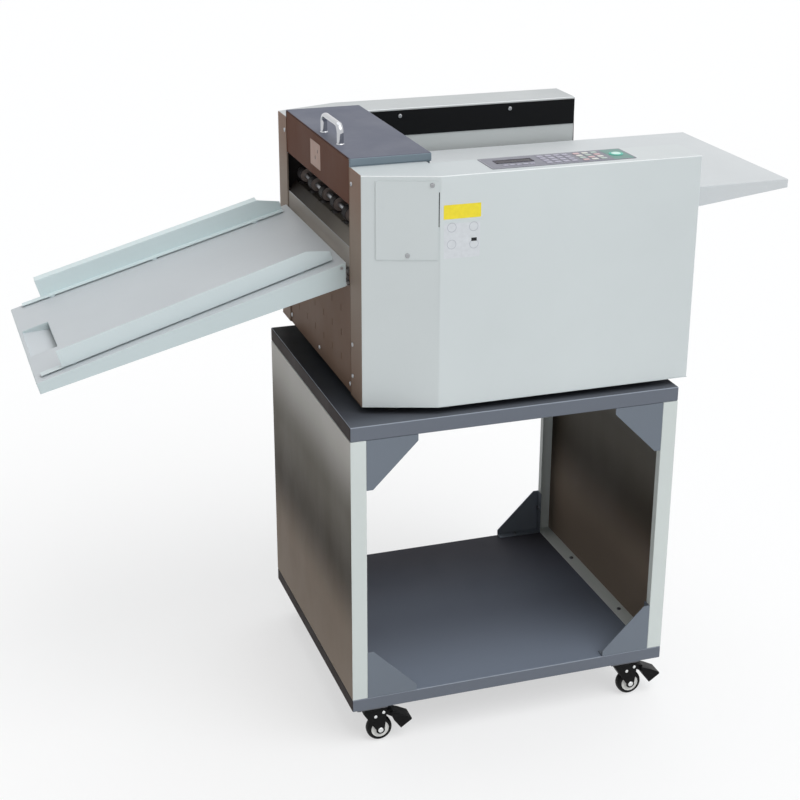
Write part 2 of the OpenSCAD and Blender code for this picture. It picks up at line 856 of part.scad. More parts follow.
module delivery_panel() {
    color("rosybrown") in_machine() difference() {
        box_between([cover_t, -panel_half, 0], [panel_back, panel_half, sill_z - guide_t]);
        cover_screw_holes();
        for (i = [-2.5:1:2.5], j = [0:2])
            box_between([0, i * louvre_pitch_y - louvre_w / 2,
                         louvre_z + j * louvre_pitch_z - louvre_l / 2],
                        [panel_back + 1, i * louvre_pitch_y + louvre_w / 2,
                         louvre_z + j * louvre_pitch_z + louvre_l / 2]);
    }
}

module feed_end_panel() {
    color("lightgray") in_machine()
        box_between([body_l - cover_t, -channel_half + 0.3, 0],
                    [body_l, channel_half - 0.3, table_z - skirt_h - 2]);
}

module black_panel() {
    color("black") in_machine() difference() {
        box_between([black_x0, channel_half - panel_t, black_z0],
                    [black_x1, channel_half, black_z1]);
        cover_screw_holes();
    }
}

module die_access_plate() {
    color("lightgray") in_machine() difference() {
        on_corner_face() box_between([plate_x0, -panel_t, plate_z0], [plate_x1, 0, plate_z1]);
        cover_screw_holes();
    }
}

// ---------------------------------------------------------------- table and panels

module feed_table() {
    color("gainsboro") in_machine() {
        box_between([table_start, -table_half, table_z - table_t],
                    [table_end, table_half, table_z]);
        on_both_sides() pulled_along_y(table_half - table_t, table_half) polygon([
            [table_start, table_z - skirt_h], [body_l, table_z - skirt_h],
            [table_end, table_z - skirt_end_h], [table_end, table_z], [table_start, table_z]
        ]);
        box_between([table_end - table_t, -table_half, table_z - skirt_end_h],
                    [table_end, table_half, table_z]);
    }
}

module at_control_panel() {
    in_machine() translate([control_x, -body_half + control_in, body_h]) children();
}

module control_panel() {
    color("slategray") at_control_panel() cube([control_l, control_w, control_t]);
}

module display_window() {
    color("indigo") at_control_panel()
        translate([21, control_w / 2 - 5, control_t]) cube([display_l, display_w, 0.6]);
}

// ---------------------------------------------------------------- lid

module lid() {
    flap_half = mouth_half - flap_gap;
    lip_z = body_h + pass_gap;
    color("slategray") in_machine() {
        box_between([0, -lid_half, lid_top - lid_t], [lid_l, lid_half, lid_top]);
        box_between([lid_l - lid_t, -lid_half, lip_z], [lid_l, lid_half, lid_top]);
        box_between([0, -flap_half, flap_z], [lid_t, flap_half, lid_top]);
        box_between([0, -flap_half, flap_z], [10, flap_half, flap_z + lid_t]);
        on_both_sides() {
            box_between([0, lid_half - lid_t, lip_z], [lid_l, lid_half, lid_top]);
            difference() {
                pulled_along_y(ear_out - ear_t, ear_out) polygon([
                    [lid_pivot[0] - 6, lid_pivot[1] - 6], [lid_l - lid_t, lid_pivot[1] - 6],
                    [lid_l - lid_t, lid_top - lid_t / 2], [lid_pivot[0] - 20, lid_top - lid_t / 2]
                ]);
                bar_along_y(lid_pivot, ear_out - ear_t - 1, ear_out + 1, lid_pin_r + run_gap);
            }
        }
    }
}

module lid_hinge_pins() {
    color("silver") in_machine() on_both_sides()
        bar_along_y(lid_pivot, ear_out - ear_t - 1.5, frame_out, lid_pin_r);
}

// A bent round bar with a flange at each foot
module lid_handle() {
    half = handle_l / 2;
    straight = handle_h - handle_bend - handle_r;
    color("silver") in_machine() translate([handle_x, -handle_off, lid_top]) {
        on_both_sides() {
            translate([0, half, 0]) cylinder(r = handle_r, h = straight);
            translate([0, half, 0]) cylinder(r1 = handle_r + 3, r2 = handle_r + 2, h = 2);
            translate([0, half - handle_bend, straight]) rotate([0, -90, 0])
                rotate_extrude(angle = 90) translate([handle_bend, 0]) circle(r = handle_r);
        }
        bar_along_y([0, straight + handle_bend], -half + handle_bend, half - handle_bend,
                    handle_r);
    }
}

// ---------------------------------------------------------------- paper path

// Sheet-metal guides: the sill with slots for the exit rollers, and two sloping plates
module paper_guides() {
    color("gray") in_machine() {
        difference() {
            union() {
                box_between([cover_t, -mouth_half + 0.5, sill_z - guide_t],
                            [exit_x + 26, mouth_half - 0.5, sill_z]);
                box_between([panel_back + 4, -frame_in, sill_z - guide_t],
                            [exit_x + 16, frame_in, sill_z]);
            }
            for (i = [-2.5:1:2.5])
                box_between([exit_x - roller_r - 1, i * roller_pitch - roller_w / 2 - 1,
                             sill_z - 5],
                            [exit_x + roller_r + 1, i * roller_pitch + roller_w / 2 + 1,
                             sill_z + 1]);
        }
        sloping_guide(exit_x + roller_r + 2, crease_x - anvil_t / 2 - 1);
        sloping_guide(crease_x + anvil_t / 2 + 1, feed_x - roller_r - 2);
    }
}

// A plate between the frames, under the paper, from one x to another
module sloping_guide(from, to) {
    translate([exit_x, -frame_in, exit_nip_z - guide_drop]) rotate([0, -path_a, 0])
        translate([(from - exit_x) / cos(path_a), 0, -guide_t])
            cube([(to - from) / cos(path_a), 2 * frame_in, guide_t]);
}

// Gear outline: a tooth every 360 / gear_teeth degrees, the first on the x axis
module gear_outline() {
    step = 360 / gear_teeth;
    tip = roller_pitch_r * (1 + 1.8 / gear_teeth);
    root = roller_pitch_r * (1 - 2.4 / gear_teeth);
    polygon([for (i = [0:gear_teeth - 1])
        for (corner = [[root, -0.28], [tip, -0.1], [tip, 0.1], [root, 0.28]])
            corner[0] * [cos((i + corner[1]) * step), sin((i + corner[1]) * step)]]);
}

// A gear on the shaft at the given centre, turned so that a pair meshes
module roller_gear(at, turn) {
    pulled_along_y(gear_y, gear_y + gear_w)
        translate(at) rotate(90 + turn) gear_outline();
}

// Two rims with a groove between them for the belt
module pulley(at) {
    bar_along_y(at, pulley_y, pulley_y + pulley_w, pulley_r);
    bar_along_y(at, pulley_y, pulley_y + pulley_rim, pulley_r + 2.5);
    bar_along_y(at, pulley_y + pulley_w - pulley_rim, pulley_y + pulley_w, pulley_r + 2.5);
}

function upper(end) = [end[0], end[1] + roller_pitch_r];
function lower(end) = [end[0], end[1] - roller_pitch_r];

module exit_upper_shaft() {
    at = upper(shaft_ends[0]);
    color("silver") in_machine() {
        bar_along_y(at, -frame_out, gear_y + gear_w, roller_shaft_r);
        roller_gear(at, 180 / gear_teeth + 180);
    }
}

module exit_lower_shaft() {
    at = lower(shaft_ends[0]);
    color("silver") in_machine() {
        bar_along_y(at, -frame_out, pulley_y + pulley_w, roller_shaft_r);
        roller_gear(at, 0);
        pulley(at);
    }
}

// Six rubber sleeves on an exit shaft
module exit_rollers(at) {
    color("black") in_machine() for (i = [-2.5:1:2.5])
        difference() {
            bar_along_y(at, i * roller_pitch - roller_w / 2, i * roller_pitch + roller_w / 2,
                        roller_r);
            bar_along_y(at, i * roller_pitch - roller_w, i * roller_pitch + roller_w,
                        roller_shaft_r);
        }
}

module exit_upper_rollers() { exit_rollers(upper(shaft_ends[0])); }
module exit_lower_rollers() { exit_rollers(lower(shaft_ends[0])); }

module feed_upper_roller() {
    at = upper(shaft_ends[1]);
    color("dimgray") in_machine() {
        bar_along_y(at, -frame_out, gear_y + gear_w, roller_shaft_r);
        bar_along_y(at, -mouth_half + 12, mouth_half - 12, roller_r);
        roller_gear(at, 180 / gear_teeth + 180);
    }
}

module feed_lower_roller() {
    at = lower(shaft_ends[1]);
    color("dimgray") in_machine() {
        bar_along_y(at, -frame_out, pulley_y + pulley_w, roller_shaft_r);
        bar_along_y(at, -mouth_half + 12, mouth_half - 12, roller_r);
        roller_gear(at, 0);
        pulley(at);
    }
}

// ---------------------------------------------------------------- creasing unit

module crease_beam() {
    color("silver") in_machine() {
        box_between([crease_x - beam_t / 2, -beam_half, beam_z],
                    [crease_x + beam_t / 2, beam_half, beam_top]);
        box_between([crease_x - tongue_t / 2, -beam_half - tongue_l, beam_z + 4],
                    [crease_x + tongue_t / 2, beam_half + tongue_l, beam_top - 6]);
    }
}

module crease_blade() {
    color("gainsboro") in_machine()
        box_between([crease_x - blade_t / 2, -blade_half, blade_z],
                    [crease_x + blade_t / 2, blade_half, beam_z]);
}

module crease_anvil() {
    color("gray") in_machine() difference() {
        box_between([crease_x - anvil_t / 2, -frame_in, anvil_z - anvil_h],
                    [crease_x + anvil_t / 2, frame_in, anvil_z]);
        box_between([crease_x - groove_w / 2, -frame_in - 1, anvil_z - 2 * cam_e],
                    [crease_x + groove_w / 2, frame_in + 1, anvil_z + 1]);
    }
}

// Two slotted blocks on the frames, in which the beam's tongues slide
module crease_guides() {
    slot = tongue_t / 2 + pass_gap;
    color("gray") in_machine() on_both_sides() difference() {
        box_between([crease_x - crease_guide_t / 2, beam_half + 2, beam_z - 8],
                    [crease_x + crease_guide_t / 2, frame_in, beam_top - 2]);
        box_between([crease_x - slot, beam_half, beam_z - 9],
                    [crease_x + slot, beam_half + tongue_l + 1, beam_top + 1]);
    }
}

module crease_shaft() {
    at = [crease_x, crease_shaft_z];
    color("silver") in_machine() {
        bar_along_y(at, -frame_out, frame_out + crease_shaft_in, crease_shaft_r);
        for (y = [-cam_y, cam_y])
            bar_along_y([at[0], at[1] + cam_e], y - cam_w / 2, y + cam_w / 2, cam_r);
    }
}

// A square motor whose mounting face lies at y = from, with a blind bore for its shaft
module motor_body(at, from, to, bore_r, bore_from, bore_to) {
    half = motor_size / 2;
    difference() {
        box_between([at[0] - half, from, at[1] - half], [at[0] + half, to, at[1] + half]);
        bar_along_y(at, bore_from, bore_to, bore_r);
    }
}

module crease_motor() {
    color("dimgray") in_machine()
        motor_body([crease_x, crease_shaft_z], frame_out, frame_out + crease_motor_l,
                   crease_shaft_r + run_gap, frame_out - 1, frame_out + crease_shaft_in + 1);
}

// ---------------------------------------------------------------- drive and electrics

module drive_motor() {
    color("dimgray") in_machine()
        motor_body(motor_at, frame_in - motor_l, frame_in, motor_shaft_r + run_gap,
                   frame_in - motor_shaft_in - 1, frame_in + 1);
}

module motor_pulley() {
    color("silver") in_machine() {
        bar_along_y(motor_at, frame_in - motor_shaft_in, pulley_y + pulley_w, motor_shaft_r);
        pulley(motor_at);
    }
}

// The loop round three pulleys, grown by r
module belt_outline(r) {
    hull() {
        translate(lower(shaft_ends[0])) circle(r = r, $fn = 32);
        translate(lower(shaft_ends[1])) circle(r = r, $fn = 32);
        translate(motor_at) circle(r = r, $fn = 32);
    }
}

module timing_belt() {
    inner = pulley_r + pass_gap;
    color("black") in_machine()
        pulled_along_y(pulley_y + pulley_rim + pass_gap,
                       pulley_y + pulley_w - pulley_rim - pass_gap)
            difference() {
                belt_outline(inner + belt_t);
                belt_outline(inner);
            }
}

// A board on four posts on the near frame plate, with its larger components
module circuit_board() {
    face = -frame_out - board_post_l;
    color("green") in_machine() {
        box_between([board_x, face - board_t, board_z],
                    [board_x + board_l, face, board_z + board_h]);
        for (x = [board_post_in, board_l - board_post_in],
             z = [board_post_in, board_h - board_post_in])
            bar_along_y([board_x + x, board_z + z], face - board_t / 2, -frame_out, board_post_r);
        for (block = board_blocks)
            translate([board_x + block[0][0], face - board_t / 2 - block[1][1],
                       board_z + block[0][1]])
                cube(block[1]);
    }
}

// A module set in the rear cover: a recess with three pins, and a well for the rocker
module power_inlet() {
    left = inlet_x - inlet_w / 2;
    right = inlet_x + switch_off + switch_w / 2 + 1.5;
    switch_x = inlet_x + switch_off;
    well = [switch_w / 2 + pass_gap, switch_h / 2];
    color("black") in_machine() {
        difference() {
            union() {
                box_between([left, body_half - inlet_deep, inlet_z - inlet_h / 2],
                            [right, body_half + 0.5, inlet_z + inlet_h / 2]);
                box_between([left - 4, body_half, inlet_z - inlet_h / 2 - 3],
                            [right + 4, body_half + 1.5, inlet_z + inlet_h / 2 + 3]);
            }
            box_between([left + 2, body_half - 16, inlet_z - inlet_h / 2 + 2],
                        [left + inlet_w - 2, body_half + 2, inlet_z + inlet_h / 2 - 2]);
            box_between([switch_x - well[0], body_half - 14, inlet_z - well[1]],
                        [switch_x + well[0], body_half + 2, inlet_z + well[1]]);
            translate([switch_x - well[0] - 1.2, body_half - rocker_pivot, inlet_z])
                rotate([0, 90, 0])
                    cylinder(r = rocker_pin_r + run_gap, h = 2 * well[0] + 2.4);
        }
        for (x = [-6, 0, 6])
            box_between([inlet_x + x - 1, body_half - 17, inlet_z - 2],
                        [inlet_x + x + 1, body_half - 8, inlet_z + 2]);
    }
}

// The rocker, drawn tilted the way it rests when the machine is off
module power_switch() {
    color("darkred") in_machine()
        translate([inlet_x + switch_off, body_half - rocker_pivot, inlet_z])
            rotate([-rocker_tilt, 0, 0]) {
                translate([-switch_w / 2, 0, 0]) rotate([90, 0, 90]) linear_extrude(switch_w)
                    polygon([[-3, -3], [5.2, -5.6], [3.8, 0], [5.2, 5.6], [-3, 3]]);
                translate([-switch_w / 2 - 1, 0, 0]) rotate([0, 90, 0])
                    cylinder(r = rocker_pin_r, h = switch_w + 2);
            }
}

// ---------------------------------------------------------------- delivery tray

tray_pivot = [-tray_pivot_in, -tray_pivot_down];

// A folded sheet: top, side walls that deepen towards the machine, outer wall, finger recess
module tray_pan() {
    x0 = -tray_l;
    r0 = x0 + recess_start;
    r1 = r0 + recess_l;
    y0 = recess_mid - recess_w / 2;
    y1 = recess_mid + recess_w / 2;
    color("silver") in_tray() difference() {
        union() {
            box_between([x0, -tray_half, -tray_t], [0, tray_half, 0]);
            box_between([x0, -tray_half, -tray_wall_out], [x0 + tray_t, tray_half, 0]);
            on_both_sides() pulled_along_y(tray_half - tray_t, tray_half) polygon([
                [x0, 0], [x0, -tray_wall_out],
                [-tray_wall_in * sin(tray_slope), -tray_wall_in * cos(tray_slope)], [0, 0]
            ]);
            box_between([r0 - recess_wall, y0 - recess_wall, -recess_h - recess_wall],
                        [r1 + recess_wall, y1 + recess_wall, 0]);
        }
        pulled_along_y(y0, y1) polygon([
            [r0, 1], [r0, -recess_lip_h], [r1, -recess_h], [r1, 1]
        ]);
        bar_along_y(tray_pivot, -tray_half - 1, tray_half + 1, tray_pin_r + run_gap);
    }
}

// A fence on a base flange: x along it from its outer end, y inwards from its outer face
module tray_fence(l, h, top_w) {
    difference() {
        union() {
            pulled_along_y(0, fence_t) polygon([
                [fence_setback, fence_lift], [l, fence_lift], [l, fence_end_h],
                [l - fence_clip_l, h], [fence_setback, h]
            ]);
            box_between([0, 0, fence_lift], [l, fence_base, fence_lift + fence_t]);
            if (top_w > 0)
                box_between([fence_setback, -top_w, h - fence_t], [l - fence_clip_l, fence_t, h]);
            for (x = [60, l / 2, l - 60])
                translate([x, fence_base - spacer_r, 0]) cylinder(r = spacer_r, h = fence_lift + 1);
        }
        for (x = [fence_setback + 4, l - fence_clip_l + 2])
            bar_along_y([x, fence_lift + 5], -1, fence_t + 1, fence_hole_r);
    }
}

module tray_guide_near() {
    color("gainsboro") in_tray() translate([-tray_l + near_fence_start, -near_fence_y, 0])
        rotate([0, 0, near_toe]) tray_fence(near_fence_l, near_fence_h, 0);
}

module tray_guide_rear() {
    color("gainsboro") in_tray() translate([-tray_l + rear_fence_start, rear_fence_y, 0])
        rotate([0, 0, -rear_toe]) mirror([0, 1, 0])
            tray_fence(rear_fence_l, rear_fence_h, fence_top);
}

// Two ears on the delivery panel with the tray's pivot pins and the stops its walls rest on
module tray_brackets() {
    at = [-tray_gap - tray_pivot_in * cos(tray_slope) + tray_pivot_down * sin(tray_slope),
          tray_z - tray_pivot_in * sin(tray_slope) - tray_pivot_down * cos(tray_slope)];
    color("dimgray") in_machine() on_both_sides() {
        pulled_along_y(ear_y - bracket_t, ear_y) {
            translate(at) circle(r = tray_pivot_down - tray_t - pass_gap);
            polygon([
                [at[0] - tray_pin_r, at[1] - 2], [cover_t, at[1] - 2],
                [cover_t, at[1] - bracket_h],
                [at[0] + 4, at[1] - bracket_h + bracket_stop_w]
            ]);
        }
        box_between([-1, ear_y - bracket_foot_w, at[1] - bracket_h],
                    [cover_t, ear_y, at[1] - tray_pin_r - 1]);
        box_between([-tray_gap + pass_gap, ear_y - 1, at[1] - bracket_h],
                    [cover_t, ear_y + bracket_stop_w, at[1] - bracket_h + bracket_stop_h]);
        bar_along_y(at, ear_y - bracket_t, tray_half + 1, tray_pin_r);
    }
}

// ---------------------------------------------------------------- nodes

stand_deck();
stand_shelf();
stand_left_panel();
stand_right_panel();
corner_gussets();
stand_screws();
castor_plates();
castor_fork_front_left();
castor_fork_front_right();
castor_fork_rear_left();
castor_fork_rear_right();
castor_wheel_front_left();
castor_wheel_front_right();
castor_wheel_rear_left();
castor_wheel_rear_right();
castor_pedal_front_left();
castor_pedal_front_right();
castor_pedal_rear_left();
castor_pedal_rear_right();
base_pan();
machine_feet();
near_frame();
rear_frame();
cross_bars();
near_cover();
rear_cover();
delivery_panel();
feed_end_panel();
black_panel();
die_access_plate();
cover_screws();
feed_table();
control_panel();
display_window();
lid();
lid_handle();
lid_hinge_pins();
paper_guides();
exit_upper_shaft();
exit_lower_shaft();
exit_upper_rollers();
exit_lower_rollers();
feed_upper_roller();
feed_lower_roller();
crease_beam();
crease_blade();
crease_anvil();
crease_guides();
crease_shaft();
crease_motor();
drive_motor();
motor_pulley();
timing_belt();
circuit_board();
power_inlet();
power_switch();
tray_pan();
tray_guide_near();
tray_guide_rear();
tray_brackets();
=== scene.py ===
"""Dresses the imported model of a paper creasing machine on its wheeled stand.

Everything ends up in metres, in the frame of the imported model: +X from the delivery tray towards
the feed table, +Y from the operator's side towards the rear, +Z up, the floor at z = 0. Pieces are
drawn in mm in the frame of the stand, the machine, its angled corner or a castor, and placed by it.
"""

import json
import math

import bmesh
import bpy
from mathutils import Matrix, Vector


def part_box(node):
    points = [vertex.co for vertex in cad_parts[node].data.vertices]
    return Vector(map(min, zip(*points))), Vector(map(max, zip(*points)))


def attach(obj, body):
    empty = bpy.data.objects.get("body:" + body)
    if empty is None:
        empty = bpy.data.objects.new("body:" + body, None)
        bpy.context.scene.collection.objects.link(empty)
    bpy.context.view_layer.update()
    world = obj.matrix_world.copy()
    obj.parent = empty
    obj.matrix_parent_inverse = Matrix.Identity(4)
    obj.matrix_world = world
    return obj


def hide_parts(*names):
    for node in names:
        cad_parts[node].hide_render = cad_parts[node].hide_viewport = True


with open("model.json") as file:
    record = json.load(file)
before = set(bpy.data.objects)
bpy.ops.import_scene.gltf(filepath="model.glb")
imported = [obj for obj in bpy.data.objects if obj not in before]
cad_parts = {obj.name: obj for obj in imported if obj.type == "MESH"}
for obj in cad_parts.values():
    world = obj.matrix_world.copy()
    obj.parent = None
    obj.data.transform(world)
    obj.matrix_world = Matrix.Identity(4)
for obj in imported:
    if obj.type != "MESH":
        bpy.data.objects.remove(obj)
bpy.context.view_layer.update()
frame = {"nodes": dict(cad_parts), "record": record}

MM = 0.001
RECORD = frame["record"]
BODIES = {node: body for body, nodes in RECORD["behaviour"]["bodies"].items() for node in nodes}
SLOT_OF = {part["node"]: part["material_slot"] for part in RECORD["subparts"]}
CORNERS = ("front_left", "front_right", "rear_left", "rear_right")

# -------- places in metres, as packed

COVER_LOW, COVER_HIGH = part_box("near_cover")
STAND_LOW, STAND_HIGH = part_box("stand_deck")
SHELF_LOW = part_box("stand_shelf")[0]
MID_Y = (COVER_LOW.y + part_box("rear_cover")[1].y) / 2
END_X = COVER_LOW.x
BASE_Z = COVER_LOW.z
TOP_EDGE = COVER_HIGH.z - 1 * MM

# -------- sizes in mm

# casing, from its middle plane, its delivery end and its foot
COVER_TOP = (COVER_HIGH.z - BASE_Z) / MM
HALF_DEPTH = (MID_Y - COVER_LOW.y) / MM
COVER_T = 1.5
CORNER_L, CORNER_IN = 129, 44
CORNER_ANGLE = math.atan2(CORNER_IN, CORNER_L)
END_HALF = HALF_DEPTH - CORNER_IN
CHANNEL_HALF = HALF_DEPTH - 96
MOUTH_HALF = CHANNEL_HALF - 14
FLANGE_DEPTH, FLANGE_FOLD, FLAP_DEPTH = 1.6, 2.4, 3

# screws and feet of the casing
FLANGE_SCREW_Y, FLANGE_SCREW_ZS = MOUTH_HALF + 13, (40, 100, 393)
FOOT_SCREW_Y, FOOT_SCREW_Z = MOUTH_HALF - 8, 17
WALL_SCREW_XS, WALL_SCREW_Z = (238, 475), 405
PLATE_SCREWS = ((121.3, 404.5), (79.9, 280.9))
FOOT_XS, FOOT_INSET, FOOT_R = (60, 561), 60, 16
REAR_FOOT_Y = (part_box("machine_feet")[1].y - MID_Y) / MM - FOOT_R

# stand
STAND_W = (STAND_HIGH.x - STAND_LOW.x) / MM
STAND_D = (STAND_HIGH.y - STAND_LOW.y) / MM
POST_W, SHEET = 30, 1.5
SHELF_EDGE, DECK_EDGE = 26, 28
SIDE_SHEET, SIDE_EDGE = 3, 2
FOOT_SCREW_INSET = 160
GUSSET_LEG, GUSSET_SHEET, GUSSET_SCREW_IN = 97, 2, 8

# castors: the king pin is at 0, 0 and the shelf's underside at z = 0
CASTOR_XS = (40, STAND_W - 75)
CASTOR_YS = (22, STAND_D - 22)
PLATE_T, PLATE_SCREW_X, PLATE_SCREW_Y = 2.5, 24, 14
CROWN_R, KING_PIN_R, RUN_GAP = 20, 5, 0.05
LEG_IN, LEG_T = 11.5, 2
TRAIL, AXLE_Z, BOSS_R = 18, -55, 9
WHEEL_R, WHEEL_W = 25, 20
PEDAL_PIN, GRIP_RIBS = (24, -17), 5
RIVETS = ((TRAIL, AXLE_Z, 5.2, 2.4), (*PEDAL_PIN, 3.2, 1.6), (8, -24, 3.2, 1.6))

# lid
LID_TOP = 435
HANDLE_X, HANDLE_OFF = 16, 53
HANDLE_L, HANDLE_H, HANDLE_R, HANDLE_BEND, HANDLE_BREADTH = 105, 38, 4.5, 14, 1.4
HINGE_X, HINGE_Z, HINGE_IN, HINGE_OUT, HINGE_PIN_R = 142, 411, 202.5, 236, 4

# exit rollers and crease beam
EXIT_X, EXIT_UPPER_Z, EXIT_LOWER_Z = 31, 310, 282
ROLLER_R, ROLLER_W, SHAFT_R = 13.85, 24, 5.02
ROLLER_PITCH = (MOUTH_HALF - 10 - ROLLER_W / 2) / 2.5
ROLLER_YS = [(k - 2.5) * ROLLER_PITCH for k in range(6)]
BEAM_FACE_X, BEAM_SCREW_Z, BEAM_SCREW_PITCH, BEAM_SCREWS_A_SIDE = 79, 366, 44, 4

# control panel, labels and inlet
PANEL_X, PANEL_L, PANEL_W, PANEL_IN = 228, 273, 75, 17
LINE_IN = 2.2
DISPLAY_X, DISPLAY_L, DISPLAY_W, DISPLAY_FRAME = 21, 70, 22, 2.2
KEY_HEIGHT = (0.7, 1.5)
START_KEY = (250, 38)
LABEL_X = 168
LABEL_RINGS = ((149, 329), (189, 328), (149, 299), (190, 297))
FLAP_SPOTS = ((12, 402), (-4, 388))
INLET_X, INLET_Z = 520, 60

# how far the folds of the sheets that keep one paint are rounded
PLAIN_FOLDS = {
    "base_pan": 1.5, "feed_end_panel": 0, "black_panel": 0, "die_access_plate": 0, "feed_table": 1.6,
    "paper_guides": 0, "cross_bars": 1.0, "tray_brackets": 0, "crease_beam": 0.8, "crease_guides": 0,
    "crease_anvil": 0, "crease_blade": 0, "crease_motor": 1.5, "drive_motor": 1.5, "circuit_board": 0,
    "power_inlet": 0, "power_switch": 0,
}

# in metres: the widest screw hole that is closed, and how broad a flat-shaded face is at least
WIDEST_HOLE, BROAD = 8 * MM, 4 * MM

# angles between two faces, in radians: a fold, a cut edge, and the steps of a curved surface
SHARP = math.radians(10)
CUT = math.radians(50)
CURVE_LEAST, CURVE_MOST = math.radians(2), math.radians(40)

# shares of a face's normal along an axis, by which its paint is chosen
SQUARE_ON, UPWARD = 0.8, 0.7
SLOPING, LEVEL, FLAT_TOP = 0.2, 0.9, 0.97

# -------- shader nodes


def shade(seen, share=1):
    """The linear colour that a shader takes for one as it is seen, 0 to 255, lighter or darker."""
    def linear(v):
        v = v / 255
        return v / 12.92 if v <= 0.04045 else ((v + 0.055) / 1.055) ** 2.4
    return (*(linear(v) * share for v in seen), 1)


def new_material(name, gloss=0.5, metallic=0):
    """A new material and its node tree."""
    material = bpy.data.materials.new(name)
    material.use_nodes = True
    tree = material.node_tree
    bsdf = tree.nodes["Principled BSDF"]
    bsdf.inputs["Specular IOR Level"].default_value = gloss
    bsdf.inputs["Metallic"].default_value = metallic
    return material, tree


def noise(tree, scale, detail=3, roughness=0.5, stretch=None):
    """Noise over the object's own coordinates, in metres, so its grain keeps one size everywhere."""
    where = tree.nodes.new("ShaderNodeTexCoord").outputs["Object"]
    if stretch:
        mapping = tree.nodes.new("ShaderNodeMapping")
        mapping.inputs["Scale"].default_value = stretch
        tree.links.new(where, mapping.inputs["Vector"])
        where = mapping.outputs[0]
    node = tree.nodes.new("ShaderNodeTexNoise")
    node.inputs["Scale"].default_value = scale
    node.inputs["Detail"].default_value = detail
    node.inputs["Roughness"].default_value = roughness
    tree.links.new(where, node.inputs["Vector"])
    return node.outputs["Fac"]


def spread(tree, value, low, high, start=0.3, end=0.7):
    """A value between start and end, such as noise, spread out between low and high."""
    node = tree.nodes.new("ShaderNodeMapRange")
    node.inputs["From Min"].default_value = start
    node.inputs["From Max"].default_value = end
    node.inputs["To Min"].default_value = low
    node.inputs["To Max"].default_value = high
    tree.links.new(value, node.inputs["Value"])
    return node.outputs[0]


def between(tree, value, first, second, blend="MIX"):
    """A blend of two colours, each a fixed one or a socket, by a 0 to 1 value or socket."""
    node = tree.nodes.new("ShaderNodeMix")
    node.data_type = "RGBA"
    node.blend_type = blend
    for socket, given in (("A", first), ("B", second), ("Factor", value)):
        if isinstance(given, bpy.types.NodeSocket):
            tree.links.new(given, node.inputs[socket])
        else:
            node.inputs[socket].default_value = given
    return node.outputs["Result"]


def along(tree, kind, axis):
    """How far a place or a direction lies along an axis."""
    split = tree.nodes.new("ShaderNodeSeparateXYZ")
    tree.links.new(tree.nodes.new("ShaderNodeTexCoord").outputs[kind], split.inputs[0])
    return split.outputs[axis]


def backdrop_rays(tree):
    """1 for rays that show the backdrop: the camera's own, mirrored ones and those through glass."""
    path = tree.nodes.new("ShaderNodeLightPath")
    total = path.outputs["Is Camera Ray"]
    for kind in ("Is Glossy Ray", "Is Transmission Ray"):
        larger = tree.nodes.new("ShaderNodeMath")
        larger.operation = "MAXIMUM"
        tree.links.new(total, larger.inputs[0])
        tree.links.new(path.outputs[kind], larger.inputs[1])
        total = larger.outputs[0]
    return total


def show(tree, out, share, first, second):
    """Sends a mix of two shaders to an output."""
    mix = tree.nodes.new("ShaderNodeMixShader")
    for socket, given in zip(mix.inputs, (share, first.outputs[0], second.outputs[0])):
        tree.links.new(given, socket)
    tree.links.new(mix.outputs[0], out.inputs["Surface"])


# -------- camera, light and floor

CAMERA_AT = (-0.94108, -2.82744, 1.76212)
CAMERA_TURN = -18.523
CAMERA_DOWN = 21.904
CAMERA_ROLL = 0.160
CAMERA_LENS = 72.96

ROOM = (0.93, 0.97, 1.0, 1)
ROOM_LEFT = (0.46, 0.40, 0.36, 1)
ROOM_STRENGTH = 0.66
WHITE = (1, 1, 1, 1)
KEY_LIGHT = {"towards": (0.35, -0.62, 1.1), "share": 0.48, "softness": 50}
BACK_LIGHT = {"towards": (0.2, 0.5, 1.0), "share": 0.16, "softness": 60}
FLOOR_COLOUR = (0.93, 0.935, 0.94, 1)
FLOOR_WHITE = 0.58


def add_camera():
    """The photograph's viewpoint: a camera that looks down on the machine's delivery end."""
    data = bpy.data.cameras.new("camera")
    data.lens = CAMERA_LENS
    data.clip_end = 100
    camera = bpy.data.objects.new("camera", data)
    turn = Matrix.Rotation(math.radians(CAMERA_TURN), 4, "Z")
    tip = Matrix.Rotation(math.radians(90 - CAMERA_DOWN), 4, "X")
    roll = Matrix.Rotation(math.radians(CAMERA_ROLL), 4, "Z")
    camera.matrix_world = Matrix.Translation(CAMERA_AT) @ turn @ tip @ roll
    bpy.context.scene.collection.objects.link(camera)
    bpy.context.scene.camera = camera


def add_world():
    """White where the camera looks at it, and a soft grey room, warmer at the left, as the light."""
    world = bpy.data.worlds.new("studio")
    bpy.context.scene.world = world
    world.use_nodes = True
    tree = world.node_tree
    tree.nodes.clear()
    to_right = spread(tree, along(tree, "Generated", "X"), 0, 1, -0.9, 0.3)
    room = between(tree, to_right, ROOM_LEFT, ROOM)
    light = tree.nodes.new("ShaderNodeBackground")
    light.inputs["Strength"].default_value = ROOM_STRENGTH
    tree.links.new(room, light.inputs["Color"])
    white = tree.nodes.new("ShaderNodeBackground")
    white.inputs["Color"].default_value = WHITE
    show(tree, tree.nodes.new("ShaderNodeOutputWorld"), backdrop_rays(tree), light, white)


def add_sun(name, towards, share, softness):
    """A wide soft light from far away, which lights white paint that faces it to the given share."""
    data = bpy.data.lights.new(name, "SUN")
    data.energy = math.pi * share
    data.angle = math.radians(softness)
    lamp = bpy.data.objects.new(name, data)
    lamp.rotation_euler = (-Vector(towards)).to_track_quat("-Z", "Y").to_euler()
    bpy.context.scene.collection.objects.link(lamp)


